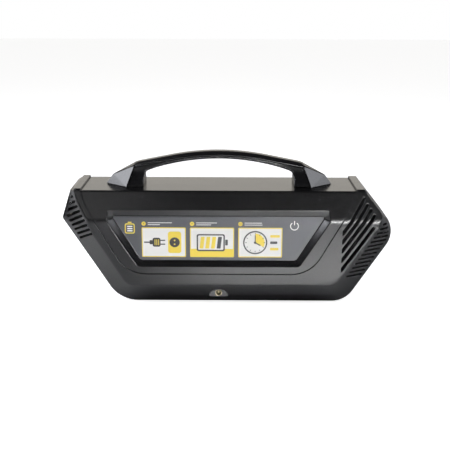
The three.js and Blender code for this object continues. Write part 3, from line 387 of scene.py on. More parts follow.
def rolled_edge(inner, edge, surface, steps=3):
    """Rings of the rounded edge between a skin and its wall. Each point runs from the skin at inner to the
    wall under edge on a quadratic curve, and the wall starts as deep as inner lies from edge."""
    reach = np.linalg.norm(inner - edge, axis=1)
    start, corner, end = surface(inner, 0), surface(edge, 0), surface(edge, reach)
    shares = np.linspace(0, 1, steps + 2)[1:]
    return [(1 - t) ** 2 * start + 2 * t * (1 - t) * corner + t**2 * end for t in shares]


def at_depth(flat, y):
    """Points of the front view set at a depth, or at one depth each."""
    return np.column_stack([flat[:, 0], np.broadcast_to(y, len(flat)), flat[:, 1]])


def clear_ground(points, loops, clear):
    """Those points that lie in the first loop, outside the others, and at least clear from all of them."""
    kept = points[inside(points, loops[0])]
    for number, loop in enumerate(loops):
        low, high = loop.min(0) - clear, loop.max(0) + clear
        near = ((kept > low) & (kept < high)).all(1)
        close = kept[near]
        gap = np.sqrt(((close[:, None] - loop[None]) ** 2).sum(2).min(1))
        drop = gap < clear
        if number:
            drop |= inside(close, loop)
        keep = np.ones(len(kept), bool)
        keep[np.flatnonzero(near)[drop]] = False
        kept = kept[keep]
    return kept


ROW_STEP = 0.87  # of the pitch, for nearly even triangles


def staggered(low, high, pitch):
    """Points of a level grid whose every second row is moved by half a pitch."""
    x = np.arange(low[0], high[0], pitch, float)
    z = np.arange(low[1], high[1], pitch * ROW_STEP, float)
    grid_x, grid_z = np.meshgrid(x, z)
    grid_x[1::2] += pitch / 2
    return np.column_stack([grid_x.ravel(), grid_z.ravel()])


def level_rows(left, right, pitch, heights):
    """Rows of points from left to right at the given heights."""
    grid_x, grid_z = np.meshgrid(np.arange(left, right, pitch), heights)
    return np.column_stack([grid_x.ravel(), grid_z.ravel()])


crease_heights = np.arange(CREASE_MIDDLE - CREASE_HALF, CREASE_MIDDLE + CREASE_HALF + 0.1, 0.8)


def off_crease(points, clearance):
    """Those points that lie farther than the clearance from the middle of the crease's rounding."""
    return points[np.abs(points[:, 1] - CREASE_MIDDLE) > clearance]


SAME_PLACE = 1e-7  # points nearer to each other than this are one


def closed_shell(trims, scatter, top, bottom):
    """Points and faces of a closed moulding over a trimmed region of the front view.

    Each trim is a flat loop and the rings in space that lead from the top skin at that loop round to the
    bottom skin; the first bounds the region and the others are holes. The region is triangulated once
    over the loops and the scattered points, and top and bottom lift it into space."""
    loops = [loop for loop, _ in trims]
    ends = np.cumsum([len(loop) for loop in loops])
    starts = ends - [len(loop) for loop in loops]
    flat = np.vstack([*loops, scatter])
    outlines = [list(range(a, b)) for a, b in zip(starts, ends)]
    corners, _, triangles, sources, _, owners = delaunay_2d_cdt(
        list(map(Vector, flat.tolist())), [], outlines, 0, SAME_PLACE, True
    )
    new_place = np.empty(len(flat), int)
    counts = np.fromiter(map(len, sources), int)
    new_place[np.fromiter(chain.from_iterable(sources), int)] = np.repeat(np.arange(len(sources)), counts)
    skin = np.array([t for t, owner in zip(triangles, owners) if list(owner) == [0]])
    used, skin = np.unique(skin, return_inverse=True)
    skin = skin.reshape(-1, 3)
    packed = np.full(len(corners), -1)
    packed[used] = np.arange(len(used))
    flat = np.array(corners)[used]
    count = len(flat)
    points = [top(flat), bottom(flat)]
    faces = [*skin.tolist(), *(skin[:, ::-1] + count).tolist()]
    offset = 2 * count
    for (loop, rings), a, b in zip(trims, starts, ends):
        edge = packed[new_place[a:b]]
        size = b - a
        rows = [edge, *(offset + size * i + np.arange(size) for i in range(len(rings))), edge + count]
        points += rings
        offset += size * len(rings)
        for upper, lower in zip(rows, rows[1:]):
            wall = np.stack([upper, lower, np.roll(lower, -1), np.roll(upper, -1)], 1)
            faces += wall.tolist()
    return np.vstack(points), faces


SMOOTH_ANGLE = 35.0  # degrees; sharper edges are shaded as edges


def moulding(name, shells, finish):
    """A smoothly shaded mesh object from closed shells of points in millimetres. Doubles are merged, and
    each shell's faces are turned outwards."""
    counts = np.cumsum([0] + [len(points) for points, _ in shells])
    points = np.vstack([points for points, _ in shells])
    faces = [[v + int(first) for v in face] for first, (_, part) in zip(counts, shells) for face in part]
    mesh = bpy.data.meshes.new(name)
    mesh.from_pydata(((points - [HANDLE_TO_ORIGIN, 0, 0]) * MM).tolist(), [], faces)
    work = bmesh.new()
    work.from_mesh(mesh)
    bmesh.ops.remove_doubles(work, verts=work.verts, dist=SAME_PLACE)
    bmesh.ops.recalc_face_normals(work, faces=work.faces)
    work.to_mesh(mesh)
    work.free()
    mesh.polygons.foreach_set("use_smooth", np.ones(len(mesh.polygons), bool))
    mesh.set_sharp_from_angle(angle=math.radians(SMOOTH_ANGLE))
    mesh.materials.append(finish)
    piece = bpy.data.objects.new(name, mesh)
    bpy.context.scene.collection.objects.link(piece)
    even = piece.modifiers.new("even_shading", "WEIGHTED_NORMAL")
    even.keep_sharp = True
    return piece


def both_sides(half):
    """A closed polygon from the corners of its right half, listed from the foot upwards."""
    return np.vstack([half, half[::-1] * [-1, 1, 1]])


# the outline of the half ring: left ear, round the bottom to the right ear, and back along the seam
EAR_CORNER, EAR_ROUND = 0.4, 1.9
ABOVE_EARS, OVER_EARS_OUT = 4.0, 0.9
SEAM_SLACK = 0.1
seam_x = SEAM_HALF[1, 0] + (EAR_TOP - SEAM_HALF[1, 1]) * SEAM_LEAN + GAP
seam_wide = inset(both_sides(np.vstack([SEAM_HALF, SEAM_TIP])), -GAP)
band_trimmed = inset(BAND_CORNERS, EDGE_TRIM)
band_trimmed[[0, -1], 1] += EDGE_TRIM  # the ears keep their height
RING_CORNERS = np.vstack(
    [
        [[-seam_x, EAR_TOP, EAR_CORNER]],
        band_trimmed,
        [[seam_x, EAR_TOP, EAR_CORNER]],
        seam_wide[[1, 0, 5, 4]],
    ]
)
ring_sides = np.array([EAR_ROUND, *[EDGE_ROUND] * 5, EAR_ROUND, *[SEAM_ROUND] * 5])
# everything inside the seam, carried on above the ears
over_x = seam_x + OVER_EARS_OUT
over_ears = [[x, EAR_TOP + ABOVE_EARS, 0.3] for x in (over_x, -over_x)]
within_seam = np.vstack([seam_wide[[0, 1]], over_ears, seam_wide[[4, 5]]])


def slot_trim(corners, surface, round_over):
    """The trim of a vent: a rounded edge rolled in from the skin and a wall through the moulding."""
    inner, edge = refined([rounded(inset(corners, -round_over), 5), rounded(corners, 5)], 1.0)
    return inner, rolled_edge(inner, edge, surface, 2) + [surface(edge, WALL)]


def stroke_corners(path, width, start_radius, knee_radius, end_radius):
    """Corners of a slot along a path of two or three points: offset lines, mitred where the path bends."""
    path = np.asarray(path, float)
    run = np.diff(path, axis=0)
    run /= np.linalg.norm(run, axis=1, keepdims=True)
    normal = np.stack([-run[:, 1], run[:, 0]], 1)
    first, last = normal[:1], normal[-1:]
    middle = (normal[1:] + normal[:-1]) / (1 + (normal[1:] * normal[:-1]).sum(1, keepdims=True))
    across = np.vstack([first, middle, last]) * width / 2
    radii = np.array([start_radius, *[knee_radius] * len(middle), end_radius])[:, None]
    right_side = np.hstack([path - across, radii])
    left_side = np.hstack([path + across, radii])
    return np.vstack([right_side, left_side[::-1]])


# long slots on the right of the front: foot, knee and tip, all ending on one upright line at the left
LONG_SLOTS = np.array(
    [
        [[148.1, 93.0], [157.7, 107], [174.2, 136]],
        [[148.3, 82.2], [165.2, 107], [177.8, 128.7]],
        [[148.6, 71.2], [172.9, 107], [182.3, 122.6]],
        [[149.2, 60.2], [180.9, 107], [186.2, 116.2]],
        [[149.7, 48.6], [182.7, 96.9], [185.4, 101.0]],
    ]
)
LONG_SLOT_WIDTH = 3.4
LONG_SLOT_RADII = (0.5, 6, 1.55)  # foot, knee and tip
LONG_SLOT_CUT = 148.4
LONG_SLOT_STRETCH = 1.4  # the lower stretch is drawn this much too long, then cut
# level slots in the right bevel and slanted ones in the left, from the inner ends outwards
RIGHT_SLOTS, RIGHT_SLOT_TOP, RIGHT_SLOT_PITCH = 13, 103.4, 5.53
RIGHT_SLOT_START, RIGHT_SLOT_STEP, RIGHT_SLOT_LENGTH = 196.2, -3.38, 20.8
RIGHT_SLOT_WIDTH, RIGHT_SLOT_END = 2.4, 0.9
LEFT_SLOTS, LEFT_SLOT_WIDTH, LEFT_SLOT_END = 9, 2.7, 1.2
SLOT_OUTER_END = 0.7
LEFT_SLOT_INNER, LEFT_SLOT_STEP = np.array([-174, 135.2]), np.array([2.9, -5.4])
LEFT_SLOT_RUN = np.array([-17.8, -9.8])
SLOT_MARGIN = 4.2  # material left between the bevels' slots and the outer edge
CUT_STEPS = 161
slot_limit = rounded(inset(BAND_CORNERS, SLOT_MARGIN), 6)


def cut_off(start, run):
    """Ends of the given runs, each cut off where it leaves the limit outline for good."""
    share = np.linspace(0, 1, CUT_STEPS)[:, None, None]
    places = start + share * run
    within = inside(places.reshape(-1, 2), slot_limit).reshape(places.shape[:2])
    last = np.where(within, np.arange(CUT_STEPS)[:, None], 0).max(0)
    return places[last, np.arange(places.shape[1])]


def bevel_slot(start, run, width, inner_radius):
    """Corners of a straight slot whose outer end is cut along the case's outline."""
    unit = run / np.linalg.norm(run)
    across = np.array([-unit[1], unit[0]]) * width / 2
    sides = np.array([start - across, start + across])
    outer = cut_off(sides, np.array([run, run]))
    corners = np.vstack([sides[0], outer[0], outer[1], sides[1]])
    return np.column_stack([corners, [inner_radius, SLOT_OUTER_END, SLOT_OUTER_END, inner_radius]])


def long_slot(path):
    """Corners of a bent slot, cut square to the view on the upright line that all long slots share."""
    foot, knee, tip = path
    lower_run = (foot - knee) * LONG_SLOT_STRETCH
    corners = stroke_corners([knee + lower_run, knee, tip], LONG_SLOT_WIDTH, *LONG_SLOT_RADII)
    for end, bend in ((0, 1), (5, 4)):
        slope = (corners[end, 1] - corners[bend, 1]) / (corners[end, 0] - corners[bend, 0])
        corners[end, 1] += slope * (LONG_SLOT_CUT - corners[end, 0])
        corners[end, 0] = LONG_SLOT_CUT
    return corners


right_slots = [
    bevel_slot(
        np.array([RIGHT_SLOT_START + i * RIGHT_SLOT_STEP, RIGHT_SLOT_TOP - i * RIGHT_SLOT_PITCH]),
        np.array([RIGHT_SLOT_LENGTH, 0.0]),
        RIGHT_SLOT_WIDTH,
        RIGHT_SLOT_END,
    )
    for i in range(RIGHT_SLOTS)
]
left_slots = [
    bevel_slot(LEFT_SLOT_INNER + i * LEFT_SLOT_STEP, LEFT_SLOT_RUN, LEFT_SLOT_WIDTH, LEFT_SLOT_END)
    for i in range(LEFT_SLOTS)
]
long_slots = [long_slot(path) for path in LONG_SLOTS]
# the half-round hole for the socket's bezel, and the bezel's own inner outline
NICHE_RADIUS, NICHE_WALL, NICHE_FOOT = 10.5, 1.2, 8.2
NICHE_CUT, NICHE_FOOT_CUT, NICHE_ROLL, NICHE_CORNER = 1.5, 1.2, 0.35, 1.2


ARC_POINTS = 41


def half_disc(radius, foot, corner):
    """A closed half-round loop over a level foot, with the foot's two corners rounded off."""
    reach = math.sqrt(radius**2 - (NICHE_FOOT - foot) ** 2)
    lean = math.atan2(foot - NICHE_FOOT, reach)
    angle = np.linspace(lean + corner / radius, math.pi - lean - corner / radius, ARC_POINTS)
    arc = np.column_stack([radius * np.cos(angle), NICHE_FOOT + radius * np.sin(angle)])
    start, end = [reach - corner, foot], [corner - reach, foot]
    return np.vstack([arc, [end], [[0, foot]], [start]])


SHORTEST_RULE = 4.0


def edge_rows(low, high, low_depth, high_depth, skin_depth, offsets):
    """Rows of points on both sides of the edge where a ruled wall meets another skin, so that the mesh
    follows its curve. Along each ruled line the wall's depth runs evenly from low to high, and the share
    at which it equals the other skin's depth is found by stepping. The offsets are in millimetres."""
    share = np.full(len(low), 0.8)
    for _ in range(25):
        height = low[:, 1] + share * (high[:, 1] - low[:, 1])
        share = np.clip((skin_depth(height) - low_depth) / (high_depth - low_depth), 0, 1)
    length = np.maximum(np.linalg.norm(high - low, axis=1), SHORTEST_RULE)
    return np.vstack([low + (share + offset / length)[:, None] * (high - low) for offset in offsets])


def away_from(points, rows, clear):
    """Those points that have no point of the rows within clear of them, measured level and upright."""
    gaps = np.abs(points[:, None, :] - rows[None, ::2, :]).max(2).min(1)
    return points[gaps > clear]


def walled_shell(trims, scatter, surface, thickness=WALL):
    """A closed shell between a skin and the same skin moved inwards by the thickness."""
    return closed_shell(trims, scatter, lambda flat: surface(flat, 0), lambda flat: surface(flat, thickness))


def edge_and_skin(corners, sides, pitch, steps=ROUND_STEPS):
    """A piece's outline and, moved in by sides, the line where its rolled edge meets the skin."""
    return refined([rounded(corners, steps), rounded(inset(corners, sides), steps)], pitch)


LAP, LAP_GAP = 1.2, 0.15  # the stepped joint's overlap and clearance
EAR_FOOT = 139.0  # above this the ring's ends stand clear of the cover
BEVEL_ROWS = [-2.6, -1.5, -0.5, 0.5, 1.5, 2.6]  # from the bevels' edge


def ring_shell(side, holes, surface):
    """The half ring that both housings share, on one side of the middle plane (-1 front, 1 rear)."""
    outline, skin, mid_wall, inner_wall = refined(
        [
            rounded(inset(RING_CORNERS, distance), ROUND_STEPS)
            for distance in (0, ring_sides, (WALL + side * LAP_GAP) / 2, WALL)
        ],
        SKIN_PITCH,
    )
    edge_y = surface(outline, 0)[:, 1]
    on_seam = inside(outline, rounded(inset(within_seam, -SEAM_SLACK), ROUND_STEPS))
    reaches_back = ~on_seam | (outline[:, 1] > EAR_FOOT)
    end_y = np.where(reaches_back, side * PARTING, edge_y - side * LIP_DEPTH)
    rings = rolled_edge(skin, outline, surface)
    # the halves overlap in a stepped joint, which keeps light out of the parting line
    lap_y = np.where(reaches_back, -LAP if side > 0 else -LAP - LAP_GAP, end_y)
    rings += [at_depth(outline, end_y), at_depth(mid_wall, end_y), at_depth(mid_wall, lap_y)]
    rings += [at_depth(inner_wall, lap_y)]
    trims = [(skin, rings), *holes]
    loops = [loop for loop, _ in trims]
    fine_lines = refined(
        [rounded(inset(BAND_CORNERS, EDGE_TRIM), ROUND_STEPS), rounded(FACE_CORNERS, ROUND_STEPS)], 1.5
    )
    rows = edge_rows(*fine_lines, BAND_DEPTH, FACE_DEPTH, face_depth, BEVEL_ROWS)
    low, high = outline.min(0), outline.max(0)
    scatter = away_from(off_crease(staggered(low, high, SKIN_PITCH), CREASE_HALF + 1), rows, 1.6)
    crease = level_rows(low[0], high[0], 2.0, crease_heights)
    scatter = clear_ground(np.vstack([scatter, crease, rows]), loops, 0.7)
    return walled_shell(trims, scatter, surface)


def moulded_finish():
    """A node group for moulded plastic: its colour, roughness and fine grain.

    The grain is a fine noise used as height. Coarse clouds and small scuffs shift the colour a little
    towards the worn colour, and the clouds shift the roughness, as handling polishes a moulding unevenly."""
    group = bpy.data.node_groups.new("moulded_finish", "ShaderNodeTree")
    face = group.interface
    face.new_socket("Colour", in_out="INPUT", socket_type="NodeSocketColor")
    face.new_socket("Worn Colour", in_out="INPUT", socket_type="NodeSocketColor")
    for name in ("Roughness", "Roughness Spread", "Grain Scale", "Grain Height"):
        face.new_socket(name, in_out="INPUT", socket_type="NodeSocketFloat")
    face.new_socket("Colour", in_out="OUTPUT", socket_type="NodeSocketColor")
    face.new_socket("Roughness", in_out="OUTPUT", socket_type="NodeSocketFloat")
    face.new_socket("Normal", in_out="OUTPUT", socket_type="NodeSocketVector")
    given = add_node(group, "NodeGroupInput").outputs
    place = add_node(group, "ShaderNodeTexCoord").outputs["Object"]

    def noise(scale, detail, roughness, distortion=0.0):
        values = {"Vector": place, "Scale": scale, "Detail": detail, "Roughness": roughness}
        values["Distortion"] = distortion
        return add_node(group, "ShaderNodeTexNoise", values).outputs["Fac"]

    def mask(value, low, high, most):
        values = {"Value": value, "From Min": low, "From Max": high, "To Max": most}
        return add_node(group, "ShaderNodeMapRange", values).outputs["Result"]

    grain = noise(given["Grain Scale"], 3, 0.6)
    clouds = noise(21, 4, 0.62, 0.4)
    worn_by_clouds = mask(clouds, 0.4, 0.75, 0.5)
    worn_by_scuffs = mask(noise(160, 5, 0.7), 0.66, 0.8, 0.6)
    worn = add_node(
        group, "ShaderNodeMath", {0: worn_by_clouds, 1: worn_by_scuffs}, operation="ADD", use_clamp=True
    )
    colour = add_node(
        group,
        "ShaderNodeMix",
        {"Factor": worn.outputs["Value"], "A": given["Colour"], "B": given["Worn Colour"]},
        data_type="RGBA",
    ).outputs["Result"]
    unevenness = add_node(group, "ShaderNodeMath", {0: clouds, 1: 0.5}, operation="SUBTRACT")
    roughness = add_node(
        group,
        "ShaderNodeMath",
        {0: unevenness.outputs["Value"], 1: given["Roughness Spread"], 2: given["Roughness"]},
        operation="MULTIPLY_ADD",
        use_clamp=True,
    ).outputs["Value"]
    relief = add_node(
        group, "ShaderNodeBump", {"Height": grain, "Distance": given["Grain Height"], "Strength": 1.0}
    ).outputs["Normal"]
    add_node(group, "NodeGroupOutput", {"Colour": colour, "Roughness": roughness, "Normal": relief})
    return group


moulded_group = moulded_finish()
CASE_GRAIN, CASE_GRAIN_HEIGHT = 2600, 3e-7  # noise scale per metre, and metres


def plastic(
    name, colour, worn, roughness, spread=0.06, grain=CASE_GRAIN, height=CASE_GRAIN_HEIGHT, specular=0.5
):
    """A material for moulded plastic whose colour, roughness and grain come from the shared group."""
    made = bpy.data.materials.new(name)
    made.use_nodes = True
    tree = made.node_tree
    shader = tree.nodes["Principled BSDF"]
    values = {"Colour": (*colour, 1), "Worn Colour": (*worn, 1), "Roughness": roughness}
    values |= {"Roughness Spread": spread, "Grain Scale": grain, "Grain Height": height}
    look = add_node(tree, "ShaderNodeGroup", values, node_tree=moulded_group)
    tree.links.new(look.outputs["Colour"], shader.inputs["Base Color"])
    tree.links.new(look.outputs["Roughness"], shader.inputs["Roughness"])
    tree.links.new(look.outputs["Normal"], shader.inputs["Normal"])
    shader.inputs["Specular IOR Level"].default_value = specular
    return made


case_black = plastic("case_black", (0.0045, 0.0045, 0.005), (0.007, 0.007, 0.0075), 0.22)

long_vents = [slot_trim(corners, front_surface, 0.95) for corners in long_slots]


def bevel_vents(surface):
    """Trims of the slots in both bevels, which the front and the rear half share."""
    return [
        slot_trim(corners, surface, round_over)
        for group, round_over in ((right_slots, 0.7), (left_slots, 0.75))
        for corners in group
    ]


niche_inner, niche_edge = refined(
    [
        half_disc(NICHE_RADIUS + NICHE_CUT + roll, NICHE_FOOT - NICHE_FOOT_CUT - roll, NICHE_CORNER)
        for roll in (NICHE_ROLL, 0)
    ],
    1.6,
)
niche_rings = rolled_edge(niche_inner, niche_edge, front_surface, 1) + [front_surface(niche_edge, WALL)]
CASE_SCREWS = np.array([[-150, 68], [-90, 15], [-38, 15], [40, 15], [112, 15], [142, 84]], float)
BOSS, PILOT_HOLE = 4.2, 1.6  # radii
BOSS_ROOT = 0.3  # how far a boss runs into the wall


def circle(centre, radius, count=28):
    """A closed loop of evenly spaced points round a centre."""
    angle = np.arange(count) * 2 * math.pi / count
    return np.asarray(centre) + radius * np.column_stack([np.cos(angle), np.sin(angle)])


def screw_boss(centre, surface):
    """A tube from inside the wall to the middle plane, which a screw from the back cuts its thread in."""
    return closed_shell(
        [(circle(centre, BOSS), []), (circle(centre, PILOT_HOLE), [])],
        np.empty((0, 2)),
        lambda flat: surface(flat, WALL - BOSS_ROOT),
        lambda flat: at_depth(flat, -PARTING),
    )


front_holes = [*long_vents, *bevel_vents(front_surface), (niche_inner, niche_rings)]
front_ring = ring_shell(-1, front_holes, front_surface)
front_bosses = [screw_boss(place, front_surface) for place in CASE_SCREWS]
front_case = moulding("front_case_moulding", [front_ring, *front_bosses], case_black)
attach(front_case, "root")
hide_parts("front_housing")

# ---------------------------------------------------------------- rear housing
# The rear half of the ring, moulded like the front one but without long slots. Six deep round holes in
# its bosses take the screws that hold both halves.
HEAD_HOLE, SHANK_HOLE = 3.1, 1.8  # radii
HOLE_ROUND = 0.4
HEAD_SEAT = 12.0  # from the middle plane


def rear_surface(flat, below):
    """The rear housing's skin is the front one's in the middle plane's mirror."""
    return front_surface(flat, below) * [1, -1, 1]


def screw_hole(centre, surface):
    """Trim of a deep screw hole: the skin runs on to its rounded mouth, then come the wall, the seat of
    the head, the shank hole, and the outside of the boss back up to the inner wall."""
    radii = (BOSS, HEAD_HOLE + HOLE_ROUND, HEAD_HOLE, SHANK_HOLE)
    boss, mouth, head, shank = (circle(centre, radius) for radius in radii)
    rings = [surface(mouth, 0), *rolled_edge(mouth, head, surface, 1)]
    for loop, depth in ((head, HEAD_SEAT), (shank, HEAD_SEAT), (shank, PARTING), (boss, PARTING)):
        rings.append(at_depth(loop, depth))
    return boss, rings


rear_holes = [screw_hole(place, rear_surface) for place in CASE_SCREWS]
rear_ring = ring_shell(1, [*bevel_vents(rear_surface), *rear_holes], rear_surface)
rear_case = moulding("rear_case_moulding", [rear_ring], case_black)
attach(rear_case, "root")
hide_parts("rear_housing")

# ---------------------------------------------------------------- centre cover
# One moulding that makes the middle of the front and wraps over the top and down the back. It lies a
# little behind the ring's face, with a sunk panel whose walls are ruled between two outlines.
COVER_TOP = 142.9
COVER_SETBACK = 0.7
BACK_SEAM = 136.5
FRONT_END = 139.0  # above this height the cover is drawn along its profile, not over the front view
PROFILE_START = 120.0
TURN_START, TURN_LENGTH = 128.0, 8.0  # where the wall's thickness turns from level to square to the skin
TOP_EDGE_RADIUS = 2.0
RECESS_RIM = np.array([[100.6, 46.8, 8], [134.5, 108, 6], [136.7, 127.1, 2]])
RECESS_FLOOR = np.array([[94, 57, 6], [126, 109, 3], [127, 112.5, 1.5]])
RECESS_DEPTHS = (50.0, 42.1)  # rim and floor, from the middle plane
FLOOR_SOFTNESS, RIM_SOFTNESS = 0.7, 0.55
MIDDLE_HALF, MIDDLE_FOOT = 166, 40  # bounds of the cover and the rear panel, for their meshes
MIDDLE_ROWS = (-164, 164, 2.4)
MIDDLE_CREASE_CLEAR = 4
HANDLE_SCREW_X, HANDLE_SCREW_Y = 100, 11


top_y = -upper_depth(COVER_TOP, COVER_SETBACK)
start_depths = face_depth(np.array([PROFILE_START, FRONT_END, BACK_SEAM]), COVER_SETBACK)
# the profile's straight flanks, carried on downwards
flank_depth = start_depths[1] + 3 * (start_depths[0] - start_depths[1])
flank_foot = FRONT_END - 3 * (FRONT_END - PROFILE_START)
profile_corners = np.array(
    [
        [-flank_depth, flank_foot, 0.1],
        [top_y, COVER_TOP, TOP_EDGE_RADIUS],
        [-top_y, COVER_TOP, TOP_EDGE_RADIUS],
        [flank_depth, flank_foot, 0.1],
    ]
)
over_top = rounded(profile_corners, 8)[9:27]  # the roundings of the two upper corners
profile = np.vstack(
    [
        [-start_depths[0], PROFILE_START],
        [-start_depths[1], FRONT_END],
        over_top,
        [start_depths[2], BACK_SEAM],
    ]
)
steps_along = np.linalg.norm(np.diff(profile, axis=0), axis=1)
steps_along[0] = FRONT_END - PROFILE_START
profile_at = PROFILE_START + np.concatenate([[0], np.cumsum(steps_along)])
TOP_FRONT = float(np.interp(top_y, profile[:, 0], profile_at))
TOP_BACK = float(np.interp(-top_y, profile[:, 0], profile_at))
COVER_END = float(profile_at[-1])
rim_line = rounded(both_sides(RECESS_RIM), 8, 8)
floor_line = rounded(both_sides(RECESS_FLOOR), 8, 8)


def cover_face_depth(z):
    """Depth of the cover and the rear panel at height z, a little behind the housing's face."""
    return face_depth(z, COVER_SETBACK)


def cover_depth(flat):
    """Depth of the cover over the front view: the side view, or the sunk panel's wall and floor where
    they are less deep, with soft edges at the rim and round the floor."""
    share = ruled_share(rim_line, floor_line, flat, True)
    share = np.where(inside(flat, rim_line), share, np.where(share > 0, -1, share))
    rim, floor = RECESS_DEPTHS
    wall = rim - np.clip(share, -1, 2) * (rim - floor)
    sunk = -soft_least(-wall, np.full(len(wall), -floor), FLOOR_SOFTNESS)
    return soft_least(cover_face_depth(flat[:, 1]), sunk, RIM_SOFTNESS)


def cover_surface(flat, below):
    """The cover's skin. Up to FRONT_END the second coordinate is height over the front view; beyond it is
    the way along the profile over the top and down the back. Below the skin means inwards: along the
    depth over the front, and square to the profile above."""
    x, along = flat[:, 0], flat[:, 1]
    front = along < FRONT_END
    y = np.where(front, -cover_depth(flat), np.interp(along, profile_at, profile[:, 0]))
    z = np.where(front, along, np.interp(along, profile_at, profile[:, 1]))
    ahead_y, ahead_z = (
        np.interp(along + 0.2, profile_at, line) - np.interp(along - 0.2, profile_at, line)
        for line in profile.T
    )
    size = np.hypot(ahead_y, ahead_z) + 1e-9
    turn = np.clip((along - TURN_START) / TURN_LENGTH, 0, 1)
    inward_y = 1 - turn + turn * ahead_z / size
    inward_z = -turn * ahead_y / size
    return np.column_stack([x, y + below * inward_y, z + below * inward_z])


def seam_at(z):
    """Distance of the seam from the middle, at a height on its upper side."""
    return SEAM_HALF[1, 0] + (z - SEAM_HALF[1, 1]) * SEAM_LEAN


COVER_CORNERS = both_sides(
    np.vstack(
        [
            SEAM_HALF,
            [
                [seam_at(COVER_TOP), TOP_FRONT, 3],
                [seam_at(COVER_TOP), TOP_BACK, 3],
                [seam_at(BACK_SEAM), COVER_END, 0.5],
            ],
        ]
    )
)
cover_edge, cover_skin = edge_and_skin(COVER_CORNERS, SEAM_ROUND, 2.4)
cover_rings = rolled_edge(cover_skin, cover_edge, cover_surface) + [cover_surface(cover_edge, WALL)]
handle_holes = []
for hole_x in (-HANDLE_SCREW_X, HANDLE_SCREW_X):
    for hole_y in (-HANDLE_SCREW_Y, HANDLE_SCREW_Y):
        hole = circle([hole_x, np.interp(hole_y, profile[:, 0], profile_at)], SHANK_HOLE, 20)
        handle_holes.append((hole, []))
rim_rows = edge_rows(
    *refined([rounded(both_sides(RECESS_RIM), 8), rounded(both_sides(RECESS_FLOOR), 8)], 1.3),
    *RECESS_DEPTHS,
    cover_face_depth,
    [-1.4, -0.8, -0.3, 0.2, 0.7, 1.3],
)
floor_rows = [
    refined([rounded(inset(both_sides(RECESS_FLOOR), distance), 8)], 1.3)[0]
    for distance in (-1.2, -0.6, 0, 0.6, 1.3)
]
recess_rows = np.vstack([rim_rows, *floor_rows])
cover_scatter = staggered([-MIDDLE_HALF, MIDDLE_FOOT], [MIDDLE_HALF, COVER_END], SKIN_PITCH)
cover_scatter = off_crease(away_from(cover_scatter, recess_rows, 1.5), MIDDLE_CREASE_CLEAR)
fine_heights = [*crease_heights]
for edge in (TOP_FRONT, TOP_BACK):
    fine_heights += [*np.arange(edge - 2.4, edge + 2.5, 0.4)]
    cover_scatter = cover_scatter[np.abs(cover_scatter[:, 1] - edge) > 3]
fine_rows = away_from(level_rows(*MIDDLE_ROWS, fine_heights), recess_rows, 0.5)
cover_scatter = np.vstack([cover_scatter, fine_rows, recess_rows])
cover_scatter = clear_ground(cover_scatter, [cover_skin, *(hole for hole, _ in handle_holes)], 0.5)
cover_shell = walled_shell([(cover_skin, cover_rings), *handle_holes], cover_scatter, cover_surface)
COVER_SCREWS = np.array([[-138, 128], [-50, 128], [50, 128], [138, 128]], float)
cover_bosses = [screw_boss(place, cover_surface) for place in COVER_SCREWS]
cover = moulding("centre_cover_moulding", [cover_shell, *cover_bosses], case_black)
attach(cover, "root")
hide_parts("centre_cover")

# ---------------------------------------------------------------- rear panel
# A plain moulded lid that closes the middle of the back, under the cover's wrapped edge. Four deep
# screw holes hold it to the cover.
def panel_surface(flat, below):
    """The panel's skin: the cover's side view turned to the back; below it is towards the front."""
    return np.column_stack([flat[:, 0], cover_face_depth(flat[:, 1]) - below, flat[:, 1]])


PANEL_CORNERS = both_sides(np.vstack([SEAM_HALF, [[seam_at(BACK_SEAM - GAP), BACK_SEAM - GAP, 0.6]]]))
panel_edge, panel_skin = edge_and_skin(PANEL_CORNERS, SEAM_ROUND, 2.6)
panel_rings = rolled_edge(panel_skin, panel_edge, panel_surface) + [panel_surface(panel_edge, WALL)]
panel_holes = [screw_hole(place, panel_surface) for place in COVER_SCREWS]
panel_scatter = staggered([-MIDDLE_HALF, MIDDLE_FOOT], [MIDDLE_HALF, BACK_SEAM], 4.0)
panel_scatter = off_crease(panel_scatter, MIDDLE_CREASE_CLEAR)
panel_scatter = np.vstack([panel_scatter, level_rows(*MIDDLE_ROWS, crease_heights)])
panel_scatter = clear_ground(panel_scatter, [panel_skin, *(hole for hole, _ in panel_holes)], 0.8)
panel_shell = walled_shell([(panel_skin, panel_rings), *panel_holes], panel_scatter, panel_surface)
panel = moulding("rear_panel_moulding", [panel_shell], case_black)
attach(panel, "root")
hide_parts("rear_panel")

# ---------------------------------------------------------------- handle top
# The upper moulding of the fixed handle: a crowned arch of glass-filled nylon that runs at each end into
# a prow-shaped wing standing on the cover. Screws from below hold it and the grip.
HANDLE_BASE = COVER_TOP + GAP
TOP_CROWN, TOP_RADIUS, TOP_BEND_END = 184.9, 300.0, 58.0
ARCH_END, KNEE_HEIGHT = 102.5, 168.3  # where the arch turns into the wings
RIDGE_START = 101.5
SHOULDER_X, SHOULDER_HEIGHT = 130.0, 155.0
WING_TIP, WING_FOOT, WING_FOOT_DEPTH = 138.5, 111.7, 23.5
GRIP_HALF_DEPTH = 12.0
CROWN_FALL, SIDE_FALL = 2.18, 4.8  # from the ridge to the side's upper and lower edge


def arch_height(x):
    """Height of the arch's ridge: a circle out to where the bend ends, and its tangent beyond."""
    bend = np.minimum(np.abs(x), TOP_BEND_END)
    rise = np.sqrt(TOP_RADIUS**2 - bend**2)
    return TOP_CROWN - TOP_RADIUS + rise - (np.abs(x) - bend) * bend / rise


def eased(line, x, reach):
    """Mean of a line's values over a short stretch on both sides of x, which rounds its bends."""
    stretch = np.minimum(reach, WING_TIP - np.abs(x))
    return line(np.abs(x + np.linspace(-1, 1, 11)[:, None] * stretch)).mean(0)


